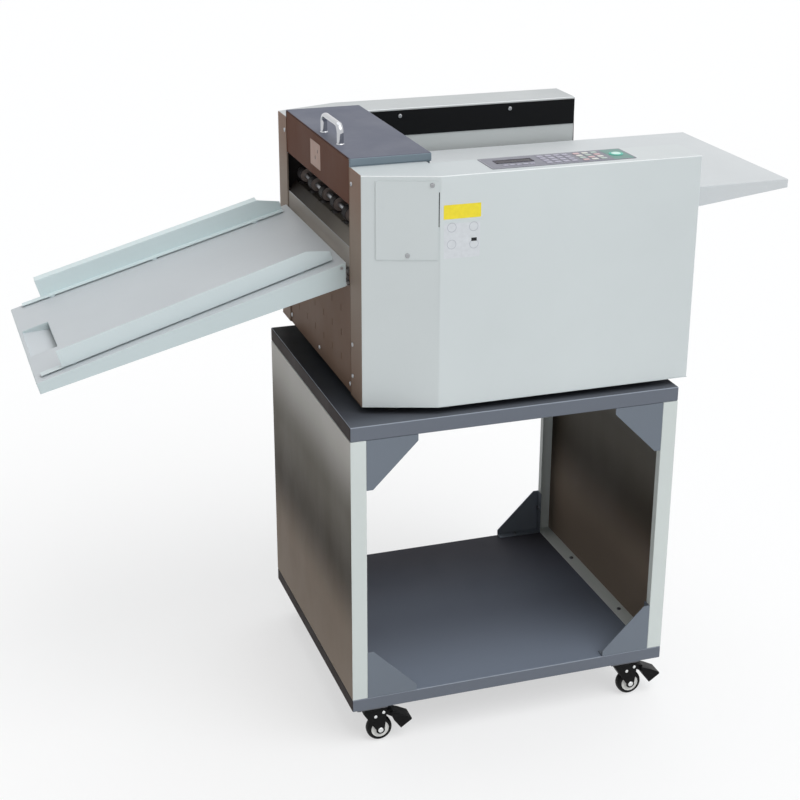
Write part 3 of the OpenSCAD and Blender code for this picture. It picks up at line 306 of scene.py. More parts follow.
def add_floor():
    """A pale floor that runs far out, just below the wheels, and keeps the object's soft shadow."""
    bpy.ops.mesh.primitive_plane_add(size=90, location=(0, 0, -0.0005))
    floor = bpy.context.object
    floor.name = "floor"
    material, tree = new_material("floor", 0.1)
    bsdf = tree.nodes["Principled BSDF"]
    bsdf.inputs["Base Color"].default_value = FLOOR_COLOUR
    bsdf.inputs["Roughness"].default_value = 0.7
    white = tree.nodes.new("ShaderNodeEmission")
    share = tree.nodes.new("ShaderNodeMath")
    share.operation = "MULTIPLY"
    share.inputs[1].default_value = FLOOR_WHITE
    tree.links.new(backdrop_rays(tree), share.inputs[0])
    show(tree, tree.nodes["Material Output"], share.outputs[0], bsdf, white)
    floor.data.materials.append(material)


# -------- materials


def finish(material, colour, sheen, relief, strength, depth):
    """Gives a material its colour, its roughness and a fine relief of the given depth in metres."""
    tree = material.node_tree
    bsdf = tree.nodes["Principled BSDF"]
    tree.links.new(colour, bsdf.inputs["Base Color"])
    tree.links.new(sheen, bsdf.inputs["Roughness"])
    bump = tree.nodes.new("ShaderNodeBump")
    bump.inputs["Strength"].default_value = strength
    bump.inputs["Distance"].default_value = depth
    tree.links.new(relief, bump.inputs["Height"])
    tree.links.new(bump.outputs[0], bsdf.inputs["Normal"])
    return material


def powder_coat(name, colour, roughness=0.42, grain=0.25, gloss=0.15):
    """Baked powder paint: an orange-peel skin, cloudy shade and gloss, hand smears and fine rubs."""
    material, tree = new_material(name, gloss)
    cloud = spread(tree, noise(tree, 3.0, 4), 0.0, 1.0)
    base = between(tree, cloud, shade(colour, 0.965), shade(colour, 1.02))
    rubs = spread(tree, noise(tree, 55.0, 5, 0.65, (1, 0.12, 0.6)), 0.0, 0.175, 0.62, 0.78)
    base = between(tree, rubs, base, shade(colour, 0.86))
    specks = spread(tree, noise(tree, 420.0, 2), 0.0, 0.15, 0.70, 0.76)
    base = between(tree, specks, base, shade(colour, 0.7))
    smears = noise(tree, 9.0, 5, 0.6, (1, 1, 0.5))
    sheen = spread(tree, smears, roughness - 0.07, roughness + 0.09)
    return finish(material, base, sheen, noise(tree, 900.0, 2), grain, 0.00008)


def painted_shade_coat(name, axis, gloss, *stops):
    """Powder paint with painted shade and reflection: its colour changes along one axis, through stops of
    a place and a colour.
    """
    material = powder_coat(name, (255, 255, 255), 0.45, 0.2, gloss)
    tree = material.node_tree
    first, last = stops[0][0], stops[-1][0]
    place = spread(tree, along(tree, "Object", axis), 0, 1, first, last)
    painted_shade = tree.nodes.new("ShaderNodeValToRGB")
    painted_shade.color_ramp.interpolation = "EASE"
    while len(painted_shade.color_ramp.elements) < len(stops):
        painted_shade.color_ramp.elements.new(0.5)
    for element, (where, *colour) in zip(painted_shade.color_ramp.elements, stops):
        element.position = (where - first) / (last - first)
        element.color = shade(colour)
    tree.links.new(place, painted_shade.inputs[0])
    base = tree.nodes["Principled BSDF"].inputs["Base Color"]
    plain = base.links[0].from_socket
    tree.links.new(between(tree, 1.0, plain, painted_shade.outputs[0], "MULTIPLY"), base)
    return material


def metal(name, colour, roughness, brushed=1, wear=0.12):
    """Bare or plated metal with drawn lines, which brushed makes finer in Y, and cloudy tarnish."""
    material, tree = new_material(name, metallic=1)
    cloud = spread(tree, noise(tree, 22.0, 4), 0.0, 1.0)
    base = between(tree, cloud, shade(colour, 1 - wear), shade(colour))
    grain = noise(tree, 300.0, 3, stretch=(1, brushed, 1))
    sheen = spread(tree, grain, max(roughness - 0.08, 0.03), roughness + 0.1)
    return finish(material, base, sheen, grain, 0.12, 0.00005)


def moulded(name, colour, roughness, gloss=0.4, grain=0.2):
    """Moulded plastic or rubber with a fine spark-eroded skin and dusty clouds."""
    material, tree = new_material(name, gloss)
    cloud = spread(tree, noise(tree, 40.0, 4), 0.0, 1.0)
    base = between(tree, cloud, shade(colour, 0.88), shade(colour, 1.1))
    dust = spread(tree, noise(tree, 160.0, 5, 0.6), 0.0, 0.22, 0.55, 0.8)
    grey = (*(0.8 * c + 0.05 for c in shade(colour)[:3]), 1)
    base = between(tree, dust, base, grey)
    sheen = spread(tree, noise(tree, 30.0, 3), roughness - 0.06, roughness + 0.08)
    return finish(material, base, sheen, noise(tree, 1100.0, 2), grain, 0.0001)


def printed(name, colour, roughness=0.4):
    """Ink on film: a flat colour with a faint mottle and the film's fine texture."""
    material, tree = new_material(name, 0.3)
    mottle = spread(tree, noise(tree, 120.0, 3), 0.0, 1.0)
    ink = between(tree, mottle, shade(colour, 0.94), shade(colour, 1.03))
    sheen = spread(tree, noise(tree, 60.0, 2), roughness - 0.05, roughness + 0.05)
    return finish(material, ink, sheen, noise(tree, 1800.0, 1), 0.08, 0.00005)


# a colour as it is seen, 0 to 255, then roughness, grain and gloss where they aren't the usual ones
POWDER_COATS = {
    "stand_dark": (106, 112, 122, 0.4, 0.3),
    # the gussets: a lighter copy of the stand's dark paint, painted light against the shade they stand in
    "gusset_paint": (113, 121, 131, 0.4, 0.3),
    "stand_light": (206, 213, 211),
    # the deck's and the shelf's sloping folds: a painted highlight, lighter than the stand's dark paint
    "stand_fold": (142, 149, 160, 0.4, 0.3),
    # the deck's and the shelf's delivery-side edges: dark warm brown, painted shade
    "stand_edge": (52, 46, 45, 0.45, 0.3, 0.02),
    "cover_paint": (206, 213, 214),
    # the rear cover and its top: darker copies of the near cover's paint, painted shade
    "rear_paint": (194, 198, 198),
    "rear_top": (186, 190, 191),
    # the folds under the covers' tops: a painted highlight, near white
    "cover_fold": (234, 238, 239, 0.38),
    "black_paint": (17, 18, 20, 0.5, 0.2, 0.1),
    "lid_paint": (96, 100, 114, 0.45, 0.25, 0.08),
    # the lid's lips: lighter and bluer than its top, painted light on the same sheet
    "lip_paint": (124, 138, 148, 0.4),
    # the lid's face at the delivery end: warm brown, painted shade and reflection
    "flap_paint": (98, 67, 54, 0.5, 0.2, 0.02),
    "table_paint": (205, 209, 211, 0.45),
    "tray_paint": (194, 200, 204, 0.4),
    # the tray's walls: a lighter copy of the tray's paint, painted light
    "tray_wall": (196, 208, 210, 0.4),
    # the tray's fences: lighter copies of the tray's paint, the rear one the lightest, painted light
    # against the shade they stand in
    "fence_near": (204, 215, 217, 0.4),
    "fence_rear": (214, 228, 230, 0.4),
    # the side frames: near black, painted shade that darkens the inside of the exit mouth
    "frame_black": (44, 41, 40, 0.5, 0.2, 0.05),
    "motor_paint": (44, 44, 46),
}

# painted shade and reflection that changes along an axis; the columns: axis and gloss, then stops: a place
# on the axis in metres and the colour there
PAINTED_SHADE_COATS = {
    # the deck's and the shelf's tops: painted shade and reflection, light at the front and darker towards
    # the rear
    "deck_top": ("Y", 0.03, (-0.33, 96, 101, 109), (-0.27, 72, 75, 82), (-0.1, 54, 56, 61),
                 (0.2, 28, 28, 30)),
    "shelf_top": ("Y", 0.03, (-0.31, 118, 127, 141), (-0.05, 99, 105, 117), (0.22, 66, 66, 73)),
    # the side panels' outer sheets: warm brown-grey, dark at mid height and lightest at the top, painted
    # shade and reflection
    "side_shade_and_reflection": ("Z", 0.03, (0.10, 136, 124, 112), (0.22, 126, 114, 102), (0.36, 66, 60, 52),
                   (0.48, 96, 92, 84), (0.63, 176, 174, 170)),
    # the near cover's top: painted shade, darker towards the delivery end
    "near_top": ("X", 0.1, (-0.15, 194, 201, 203), (0.1, 197, 203, 205), (0.33, 206, 211, 212)),
    # the covers' flanges at the delivery end: warm brown, greyer at mid height, painted shade and
    # reflection
    "end_paint": ("Z", 0.03, (0.70, 118, 100, 88), (0.88, 134, 122, 112), (0.96, 146, 134, 123),
                  (1.08, 142, 120, 107)),
    # the delivery panel: warm brown low down and a lighter grey band at its top, under the mouth, painted
    # shade and reflection
    "panel_shade_and_reflection": ("Z", 0.03, (0.68, 104, 84, 71), (0.89, 106, 84, 71), (0.92, 142, 136, 129),
                    (0.95, 160, 156, 150)),
    # the exit chute: painted shade, darker towards the rear of the mouth
    "chute_shade": ("Y", 0.03, (-0.2, 126, 121, 113), (0.0, 84, 80, 74), (0.14, 46, 42, 38),
                    (0.22, 26, 22, 20)),
}

# colour, roughness, how brushed and wear
METALS = {
    "zinc": (178, 180, 183, 0.3),
    "zinc_dark": (104, 106, 111, 0.36),
    "rivet": (226, 228, 228, 0.25),
    "frame_steel": (160, 162, 165, 0.35, 8),
    "beam_alloy": (200, 202, 204, 0.32, 6),
    "chrome": (196, 198, 202, 0.09, 1, 0.08),
}

# colour, roughness, gloss and grain
MOULDED = {
    "castor_black": (11, 11, 12, 0.42, 0.12),
    "grip": (170, 172, 172, 0.5),
    "wheel_rubber": (15, 15, 16, 0.5, 0.15),
    "wheel_centre": (222, 222, 219, 0.35),
    "foot_rubber": (24, 24, 24, 0.6),
    "roller_rubber": (30, 26, 27, 0.55, 0.2),
    "hub_plastic": (128, 116, 111, 0.4),
    "display": (30, 24, 38, 0.25, 0.08, 0.02),
    "bezel": (56, 50, 64, 0.4, 0.1),
    "board": (30, 84, 52, 0.4),
    "inlet_plastic": (26, 26, 27, 0.3),
    "switch_plastic": (120, 24, 24, 0.3),
}

# colour and roughness
PRINTED = {
    "overlay": (118, 119, 131),
    "print_pale": (180, 180, 188),
    "field_green": (98, 138, 131),
    "key_grey": (170, 168, 184),
    "key_pink": (205, 176, 178),
    "key_white": (216, 216, 210),
    "key_sage": (178, 192, 186),
    "start_ring": (84, 186, 166),
    "start_key": (206, 240, 230, 0.3),
    "label_yellow": (238, 219, 52),
    "label_pale": (209, 213, 217),
    "label_ring": (176, 180, 188),
    "label_black": (20, 20, 26),
    "label_tan": (160, 126, 110),
    "label_brown": (84, 58, 46),
}

MATERIALS = {name: painted_shade_coat(name, *row) for name, row in PAINTED_SHADE_COATS.items()}
for make, table in ((powder_coat, POWDER_COATS), (metal, METALS), (moulded, MOULDED), (printed, PRINTED)):
    for name, row in table.items():
        MATERIALS[name] = make(name, row[:3], *row[3:])


def paint_nodes():
    """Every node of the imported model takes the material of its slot."""
    for name, node in frame["nodes"].items():
        node.data.materials.clear()
        node.data.materials.append(MATERIALS[SLOT_OF[name]])


# -------- solids, drawn in mm in a frame


def add_box(bm, lo, hi):
    """A box between its lowest and its highest corner."""
    lo, hi = Vector(lo), Vector(hi)
    for vert in bmesh.ops.create_cube(bm, size=1)["verts"]:
        vert.co = Vector(lo[i] + (vert.co[i] + 0.5) * (hi[i] - lo[i]) for i in range(3))


def add_prism(bm, outline, low, high):
    """An outline in x and y, raised from z = low to z = high."""
    rings = [[bm.verts.new((x, y, z)) for x, y in outline] for z in (low, high)]
    bm.faces.new(rings[0][::-1])
    bm.faces.new(rings[1])
    for i, corner in enumerate(rings[0]):
        after = (i + 1) % len(outline)
        bm.faces.new((corner, rings[0][after], rings[1][after], rings[1][i]))


def add_lathe(bm, profile, steps=48, paints=None):
    """A round body about z: the profile holds (radius, z) from one end to the other, paints its rows."""
    turns = [2 * math.pi * k / steps for k in range(steps)]
    rings = []
    for radius, z in profile:
        if radius == 0:
            rings.append([bm.verts.new((0, 0, z))])
            continue
        rings.append([bm.verts.new((radius * math.cos(t), radius * math.sin(t), z)) for t in turns])
    for row, (low, high) in enumerate(zip(rings, rings[1:])):
        for k in range(steps):
            after = (k + 1) % steps
            corners = [low[k % len(low)], low[after % len(low)],
                       high[after % len(high)], high[k % len(high)]]
            corners = [c for i, c in enumerate(corners) if c not in corners[:i]]
            if len(corners) > 2:
                bm.faces.new(corners).material_index = paints[row] if paints else 0
    for ring, flip in ((rings[0], True), (rings[-1], False)):
        if len(ring) > 1:
            bm.faces.new(ring[::-1] if flip else ring)


def add_tube(bm, path, radius, steps=24):
    """A round bar along a path of points that lies in one plane."""
    path = [Vector(p) for p in path]
    flat = (path[1] - path[0]).cross(path[len(path) // 2] - path[0]).normalized()
    turns = [2 * math.pi * k / steps for k in range(steps)]
    rings = []
    for i, point in enumerate(path):
        ahead = path[min(i + 1, len(path) - 1)] - path[max(i - 1, 0)]
        side = ahead.cross(flat).normalized()
        spokes = [math.cos(t) * side + math.sin(t) * flat for t in turns]
        rings.append([bm.verts.new(point + radius * spoke) for spoke in spokes])
    for low, high in zip(rings, rings[1:]):
        for k in range(steps):
            after = (k + 1) % steps
            bm.faces.new((low[k], low[after], high[after], high[k]))
    bm.faces.new(rings[0][::-1])
    bm.faces.new(rings[-1])


def rounded(width, height, radius, steps=5):
    """The outline of a rectangle with round corners, about its middle."""
    points = []
    corners = ((1, 1, 0), (-1, 1, 90), (-1, -1, 180), (1, -1, 270))
    for sx, sy, start in corners:
        for k in range(steps + 1):
            turn = math.radians(start + 90 * k / steps)
            points.append((sx * (width / 2 - radius) + radius * math.cos(turn),
                           sy * (height / 2 - radius) + radius * math.sin(turn)))
    return points


def merge(bm, part, paint=None):
    """Adds one drawn mesh to another, all in one paint if that is given, and frees it."""
    if paint is not None:
        for face in part.faces:
            face.material_index = paint
    mesh = bpy.data.meshes.new("part")
    part.to_mesh(mesh)
    part.free()
    bm.from_mesh(mesh)
    bpy.data.meshes.remove(mesh)


def add_part(bm, place, shape, *sizes, ease=None, paint=None):
    """Draws a solid by itself at its place, eases its sharp edges and adds it to a mesh.

    ease holds how long such an edge is at least, how far it is rounded and in how many steps.
    """
    part = bmesh.new()
    shape(part, *sizes)
    part.transform(place)
    if ease:
        least, width, steps = ease
        bmesh.ops.recalc_face_normals(part, faces=part.faces)
        soften(part, rim_edges(part, least), width, steps)
    merge(bm, part, paint)


# -------- edges and pieces


def reach(face, edge):
    """How far a face runs back from one of its edges."""
    start, end = (v.co for v in edge.verts)
    along = (end - start).normalized()
    return max(((v.co - start) - along * (v.co - start).dot(along)).length for v in face.verts)


def soften(bm, edges, width, segments):
    """Rounds edges off over a width."""
    if edges and width:
        bmesh.ops.bevel(bm, geom=edges, offset=width, offset_type="OFFSET", segments=segments,
                        profile=0.5, affect="EDGES", clamp_overlap=False)


def is_sharp(edge, least):
    """Whether two faces meet at an outer edge, at more than an angle."""
    return len(edge.link_faces) == 2 and edge.is_convex and edge.calc_face_angle(0) > least


def fold_edges(bm, depth):
    """Edges where two broad faces of a sheet meet."""
    return [e for e in bm.edges if is_sharp(e, SHARP) and e.calc_length() > depth
            and min(reach(f, e) for f in e.link_faces) > depth]


def rim_edges(bm, least):
    """The other sharp edges, where a sheet was cut."""
    return [e for e in bm.edges if is_sharp(e, CUT) and e.calc_length() > least]


def flat_normals(mesh, broad, turn=46):
    """Broad faces shade flat, and the strips that round the edges blend from one to the next."""
    near = math.cos(math.radians(turn))
    faces_at = [[] for _ in mesh.vertices]
    for face in mesh.polygons:
        for corner in face.vertices:
            faces_at[corner].append(face.index)
    flat = []
    for face in mesh.polygons:
        places = [mesh.vertices[v].co for v in face.vertices]
        along = max((b - a for a, b in zip(places, places[1:] + places[:1])), key=lambda e: e.length)
        across = face.area / max(along.length, 1e-9)
        flat.append(across > broad)
    normals = []
    for face in mesh.polygons:
        own = face.normal.copy()
        for corner in face.vertices:
            if flat[face.index]:
                normals.append(own)
                continue
            kin = [mesh.polygons[i] for i in faces_at[corner] if mesh.polygons[i].normal.dot(own) > near]
            wide = [k for k in kin if flat[k.index]]
            if wide:
                normals.append(max((k.normal for k in wide), key=own.dot).copy())
                continue
            total = sum((k.normal * k.area for k in kin), Vector())
            normals.append(total.normalized() if total.length else own)
    mesh.normals_split_custom_set(normals)


def new_object(name, bm):
    """A drawn mesh as an object whose faces all look outwards."""
    bmesh.ops.recalc_face_normals(bm, faces=bm.faces)
    if bm.calc_volume(signed=True) < 0:
        bmesh.ops.reverse_faces(bm, faces=bm.faces)
    mesh = bpy.data.meshes.new(name)
    bm.to_mesh(mesh)
    bm.free()
    obj = bpy.data.objects.new(name, mesh)
    bpy.context.scene.collection.objects.link(obj)
    return obj


def make_piece(name, bm, paints, body, stands_for=(), smooth=40, broad=0):
    """One visible piece from a drawn mesh, smooth except at its sharp edges, riding on a body."""
    obj = new_object(name, bm)
    mesh = obj.data
    for paint in paints:
        mesh.materials.append(MATERIALS[paint])
    mesh.polygons.foreach_set("use_smooth", [True] * len(mesh.polygons))
    if broad:
        flat_normals(mesh, broad)
    else:
        mesh.set_sharp_from_angle(angle=math.radians(smooth))
        normals = obj.modifiers.new("normals", "WEIGHTED_NORMAL")
        normals.keep_sharp = True
    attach(obj, body)
    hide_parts(*stands_for)
    return obj


def draw(name, place, paints, body, drawing, stands_for=(), smooth=40):
    """A piece whose drawing function fills a mesh in mm, in the frame given as its place."""
    bm = bmesh.new()
    drawing(bm)
    bm.transform(place)
    return make_piece(name, bm, paints, body, stands_for, smooth)


def hole_walls(bm):
    """Groups of faces that line a small round hole: each has a sharp edge and a curved neighbour."""
    def is_wall(face):
        turns = [e.calc_face_angle(0) for e in face.edges if len(e.link_faces) == 2]
        curved = [t for t in turns if CURVE_LEAST < t < CURVE_MOST]
        return len(curved) > 0 and max(turns) > CUT and face.calc_area() < (WIDEST_HOLE * 2) ** 2

    left = {f for f in bm.faces if is_wall(f)}
    groups = []
    while left:
        group, edge_of_group = set(), [left.pop()]
        while edge_of_group:
            face = edge_of_group.pop()
            group.add(face)
            near = {f for e in face.edges if e.calc_face_angle(0) < CURVE_MOST for f in e.link_faces}
            edge_of_group += list(near & left)
            left -= near
        places = [v.co for f in group for v in f.verts]
        size = sorted(max(c[i] for c in places) - min(c[i] for c in places) for i in range(3))
        if size[2] < WIDEST_HOLE and size[1] > 0.9 * size[2]:
            groups.append(group)
    return groups


def close_screw_holes(bm):
    """Closes the holes that screw heads cover, so that the sheets keep clean outlines."""
    walls = {f for group in hole_walls(bm) for f in group}
    if not walls:
        return
    bmesh.ops.delete(bm, geom=[f for f in bm.faces if f in walls], context="FACES")
    rims = [e for e in bm.edges if len(e.link_faces) == 1]
    bmesh.ops.holes_fill(bm, edges=rims, sides=0)


def dress(node, fold, rim=0.3, paints=None, choose=None):
    """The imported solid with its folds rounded, its cut edges eased and its faces painted."""
    source = frame["nodes"][node]
    bm = bmesh.new()
    bm.from_mesh(source.data)
    bmesh.ops.remove_doubles(bm, verts=bm.verts, dist=0.001 * MM)
    bmesh.ops.recalc_face_normals(bm, faces=bm.faces)
    if fold:
        close_screw_holes(bm)
    bmesh.ops.dissolve_limit(bm, angle_limit=math.radians(1), verts=bm.verts, edges=bm.edges)
    folds = fold_edges(bm, 2.5 * fold * MM) if fold else []
    bmesh.ops.connect_verts_concave(bm, faces=bm.faces)
    soften(bm, folds, fold * MM, 4)
    soften(bm, rim_edges(bm, 2 * rim * MM) if rim else [], rim * MM, 2)
    bmesh.ops.dissolve_degenerate(bm, dist=0.01 * MM, edges=bm.edges)
    bmesh.ops.connect_verts_concave(bm, faces=bm.faces)
    if choose:
        for face in bm.faces:
            face.material_index = choose(face.normal, face.calc_center_median())
    paints = paints or [SLOT_OF[node]]
    return make_piece("dressed_" + node, bm, paints, BODIES[node], [node], broad=BROAD)


# -------- screws


def screw_template(radius, height, recess):
    """A domed head with a cross or a hexagon sunk into it, as a mesh in mm about z."""
    bm = bmesh.new()
    add_lathe(bm, [(radius, 0), (radius, 0.35 * height), (0.9 * radius, 0.7 * height),
                   (0.62 * radius, 0.95 * height), (0, height)], 32)
    head = new_object("head", bm)
    bm = bmesh.new()
    floor, above = 0.4 * height, height + 1
    if recess == "cross":
        long, wide = 0.6 * radius, 0.12 * radius
        for x, y in ((long, wide), (wide, long)):
            add_box(bm, (-x, -y, floor), (x, y, above))
    else:
        turns = [math.radians(a) for a in range(0, 360, 60)]
        hexagon = [(0.5 * radius * math.cos(t), 0.5 * radius * math.sin(t)) for t in turns]
        add_prism(bm, hexagon, floor, above)
    cutter = new_object("cutter", bm)
    cut = head.modifiers.new("cut", "BOOLEAN")
    cut.operation = "DIFFERENCE"
    cut.solver = "EXACT"
    cut.use_self = True
    cut.object = cutter
    bpy.context.view_layer.update()
    made = bpy.data.meshes.new_from_object(head.evaluated_get(bpy.context.evaluated_depsgraph_get()))
    for scrap in (head, cutter):
        bpy.data.objects.remove(scrap)
    return made


def draw_screws(name, place, paint, body, head, spots, stands_for=()):
    """A piece made of one screw head at several spots."""
    def drawing(bm):
        for spot in spots:
            screw = head.copy()
            screw.transform(spot)
            bm.from_mesh(screw)
            bpy.data.meshes.remove(screw)

    draw(name, place, [paint], body, drawing, stands_for, smooth=30)


# -------- frames


def at(x, y, z):
    """A place by its distances along the axes."""
    return Matrix.Translation((x, y, z))


STAND = at(STAND_LOW.x, STAND_LOW.y, SHELF_LOW.z) @ Matrix.Scale(MM, 4)
MACHINE = at(END_X, MID_Y, BASE_Z) @ Matrix.Scale(MM, 4)
CORNER_FACE = MACHINE @ at(0, -END_HALF, 0) @ Matrix.Rotation(-CORNER_ANGLE, 4, "Z")
HERE = Matrix.Identity(4)
TO_LEFT = Matrix.Rotation(math.radians(-90), 4, "Y")
TO_FRONT = Matrix.Rotation(math.radians(90), 4, "X")
TO_BACK = Matrix.Rotation(math.radians(-90), 4, "X")
UPSIDE_DOWN = Matrix.Scale(-1, 4, (0, 0, 1))


# -------- stand


def side_sheet(normal, middle):
    """1 on the two broad faces of a side panel's outer sheet, which carry painted shade and reflection, 0
    on its flanges.
    """
    outer = min(middle.x - STAND_LOW.x, STAND_HIGH.x - middle.x) < SIDE_SHEET * MM
    return 1 if abs(normal.x) > SQUARE_ON and outer else 0


def stand_face(normal, middle):
    """1 on the edge towards the delivery side, in painted shade, 2 on the top, in painted shade and
    reflection, 3 on the folds, a painted highlight, 0 elsewhere.
    """
    if normal.x < -SQUARE_ON and middle.x < STAND_LOW.x + SIDE_EDGE * MM:
        return 1
    if SLOPING < normal.z < LEVEL:
        return 3
    return 2 if normal.z > LEVEL else 0


def dress_stand():
    """Deck, shelf, side panels and gussets."""
    for part in ("deck", "shelf"):
        paints = ["stand_dark", "stand_edge", part + "_top", "stand_fold"]
        dress("stand_" + part, 2.4, paints=paints, choose=stand_face)
    for side in ("left", "right"):
        dress("stand_" + side + "_panel", 1.3, paints=["stand_light", "side_shade_and_reflection"], choose=side_sheet)
    dress("corner_gussets", 0, 0.4, paints=["gusset_paint"])


def add_stand_screws():
    """Screws in the side panels' flanges, the gussets and the castors' plates."""
    height = (STAND_HIGH.z - SHELF_LOW.z) / MM
    spots = []
    for x in (POST_W / 2, STAND_W - POST_W / 2):
        for y in (FOOT_SCREW_INSET, STAND_D - FOOT_SCREW_INSET):
            spots.append(at(x, y, SHELF_EDGE + SHEET))
            spots.append(at(x, y, height - DECK_EDGE - SHEET) @ UPSIDE_DOWN)

    out = 0.6 * GUSSET_LEG
    turn = Matrix.Rotation(math.radians(90), 4, "Y")
    for right, rear, top in [(x, y, z) for x in (0, 1) for y in (0, 1) for z in (0, 1) if y + z < 2]:
        corner = at(STAND_W - POST_W if right else POST_W, STAND_D if rear else 0,
                    height - DECK_EDGE if top else SHELF_EDGE)
        corner @= Matrix.Diagonal((1 - 2 * right, 1 - 2 * rear, 1 - 2 * top, 1))
        spots.append(corner @ at(GUSSET_SHEET, GUSSET_SCREW_IN, out) @ turn)
        spots.append(corner @ at(out, GUSSET_SCREW_IN, GUSSET_SHEET))

    for x in CASTOR_XS:
        for y in CASTOR_YS:
            for dx in (-PLATE_SCREW_X, PLATE_SCREW_X):
                for dy in (-PLATE_SCREW_Y, PLATE_SCREW_Y):
                    spots.append(at(x + dx, y + dy, -PLATE_T) @ UPSIDE_DOWN)
    head = screw_template(4.5, 2.6, "hexagon")
    draw_screws("stand_screw_heads", STAND, "zinc_dark", "machine", head, spots, ["stand_screws"])


# -------- castors


def castor_frame(corner):
    """The place of a castor's king pin, under the shelf."""
    x = CASTOR_XS[1 if "right" in corner else 0]
    y = CASTOR_YS[1 if "rear" in corner else 0]
    return STAND @ at(x, y, 0)


def draw_fork(bm):
    """Crown, two cheeks, the hood between them, the axle's nuts and the rivets."""
    inner, outer = LEG_IN, LEG_IN + LEG_T
    bore = KING_PIN_R + RUN_GAP
    add_lathe(bm, [(bore, -6.8), (CROWN_R - 1, -6.8), (CROWN_R, -5.8), (CROWN_R, -3.6),
                   (CROWN_R - 0.8, -2.8), (bore, -2.8)], 48)
    front = [(8 - CROWN_R, -4.8), (4 - CROWN_R, -14.8), (-6.5, -30), (-3.8, -34)]
    turns = [math.radians(a) for a in range(190, 351, 16)]
    boss = [(TRAIL + BOSS_R * math.cos(t), AXLE_Z + BOSS_R * math.sin(t)) for t in turns]
    cheek = front + [(TRAIL + 1 - BOSS_R, AXLE_Z)] + boss
    cheek += [(TRAIL - 1 + BOSS_R, AXLE_Z), (30, -22), (30, -9)]
    for mirror in (1, -1):
        place = Matrix.Scale(mirror, 4, (0, 1, 0)) @ TO_FRONT
        add_part(bm, place, add_prism, cheek, inner, outer, ease=(1.2, 0.5, 2))
    back = [(x + 1.6, z - 0.3) for x, z in front][::-1]
    add_part(bm, TO_FRONT, add_prism, front + back, -inner - 0.2, inner + 0.2)
    for side, turn in ((-1, TO_FRONT), (1, TO_BACK)):
        for x, z, radius, height in RIVETS:
            dome = [(radius, 0), (radius, 0.4 * height), (0.8 * radius, 0.8 * height),
                    (0.4 * radius, height), (0, height)]
            add_part(bm, at(x, side * outer, z) @ turn, add_lathe, dome, 32, paint=1)


def draw_wheel(bm):
    """A rubber tyre on a pale centre with a raised ring and a hub, about the axle."""
    half, r = WHEEL_W / 2, WHEEL_R
    side = [(4.1, -half), (7.6, -half), (8.6, -half + 1.6), (9.4, -half + 2.4), (15.0, -half + 2.0),
            (16.2, -half + 0.9), (17.2, -half + 0.8)]
    tyre = [(17.6, -half + 1.2), (18.2, -half + 0.7), (21.5, -half + 0.8), (23.6, -half + 2.6),
            (24.6, -half + 5), (r, -half + 8)]
    profile = side + tyre
    profile += [(radius, -z) for radius, z in profile[::-1]]
    rows = len(profile) - 1
    rubber = range(len(side) - 1, rows - len(side) + 1)
    add_lathe(bm, profile, 64, [1 if row in rubber else 0 for row in range(rows)])
    bm.transform(at(TRAIL, 0, AXLE_Z) @ TO_FRONT)


def draw_pedal(bm):
    """A lever between the cheeks and a flared foot plate with a ribbed grip along its edge."""
    root, foot = LEG_IN - 0.4, LEG_IN + LEG_T + 2.9
    pin_x, pin_z = PEDAL_PIN
    arm = [(pin_x, -13.2), (44, -18), (44, -33), (pin_x, -21)]
    plate = [(37.2, -18.2), (60, -27.6), (79.8, -38.2), (79.8, -41.8), (58, -56.8), (44, -37.2)]
    for outline, half in ((arm, root), (plate, foot)):
        add_part(bm, TO_FRONT, add_prism, outline, -half, half, ease=(3, 0.9, 3))
    add_part(bm, at(pin_x, 0, pin_z) @ TO_FRONT, add_lathe, [(4.9, -root), (4.9, root)], 32)
    start, end = Vector((61, 0, -54.8)), Vector((78, 0, -43.2))
    lean = Matrix.Rotation(math.radians(-34.3), 4, "Y")
    for k in range(GRIP_RIBS):
        place = at(*start.lerp(end, k / (GRIP_RIBS - 1))) @ lean
        add_part(bm, place, add_box, (-1.2, 2 - foot, -0.5), (1.2, foot - 2, 0.5), paint=1)


def add_castors():
    """The plates, and a fork, a wheel and a brake pedal at each corner."""
    dress("castor_plates", 0, 0.4, paints=["zinc_dark"])
    for corner in CORNERS:
        place = castor_frame(corner)
        for kind, body, drawing, paints, slot in (
                ("fork", "castor_", draw_fork, ["castor_black", "rivet"], "castor_black"),
                ("wheel", "wheel_", draw_wheel, ["wheel_centre", "wheel_rubber"], "wheel_rubber"),
                ("pedal", "pedal_", draw_pedal, ["castor_black", "grip"], "castor_black")):
            node = "castor_" + kind + "_" + corner
            draw(kind + "_" + corner, place, paints, body + corner, drawing, [node], smooth=35)


# -------- casing


def end_face(normal, middle):
    """1 on the flange at the delivery end and its cut edges, in painted shade and reflection, 2 on the
    folds under the top, a painted highlight, 3 on it, in painted shade.
    """
    on_flange = (middle.x < END_X + FLANGE_DEPTH * MM
                 and abs(middle.y - MID_Y) < (END_HALF - FLANGE_FOLD) * MM)
    if normal.x < -SQUARE_ON or on_flange:
        return 1
    if SLOPING < normal.z < FLAT_TOP:
        return 2
    return 3 if normal.z > LEVEL and middle.z > TOP_EDGE else 0


def lid_face(normal, middle):
    """0 on the lid's top, 1 on its flap, in painted shade and reflection, 2 on its lips, painted lighter
    than the top: painted light.
    """
    if normal.x < -SQUARE_ON or middle.z < TOP_EDGE and middle.x < END_X + FLAP_DEPTH * MM:
        return 1
    return 0 if normal.z > UPWARD else 2


def tray_face(normal, middle):
    """0 on the tray's top, 1 on its walls, painted lighter than the top: painted light."""
    return 0 if normal.z > UPWARD else 1


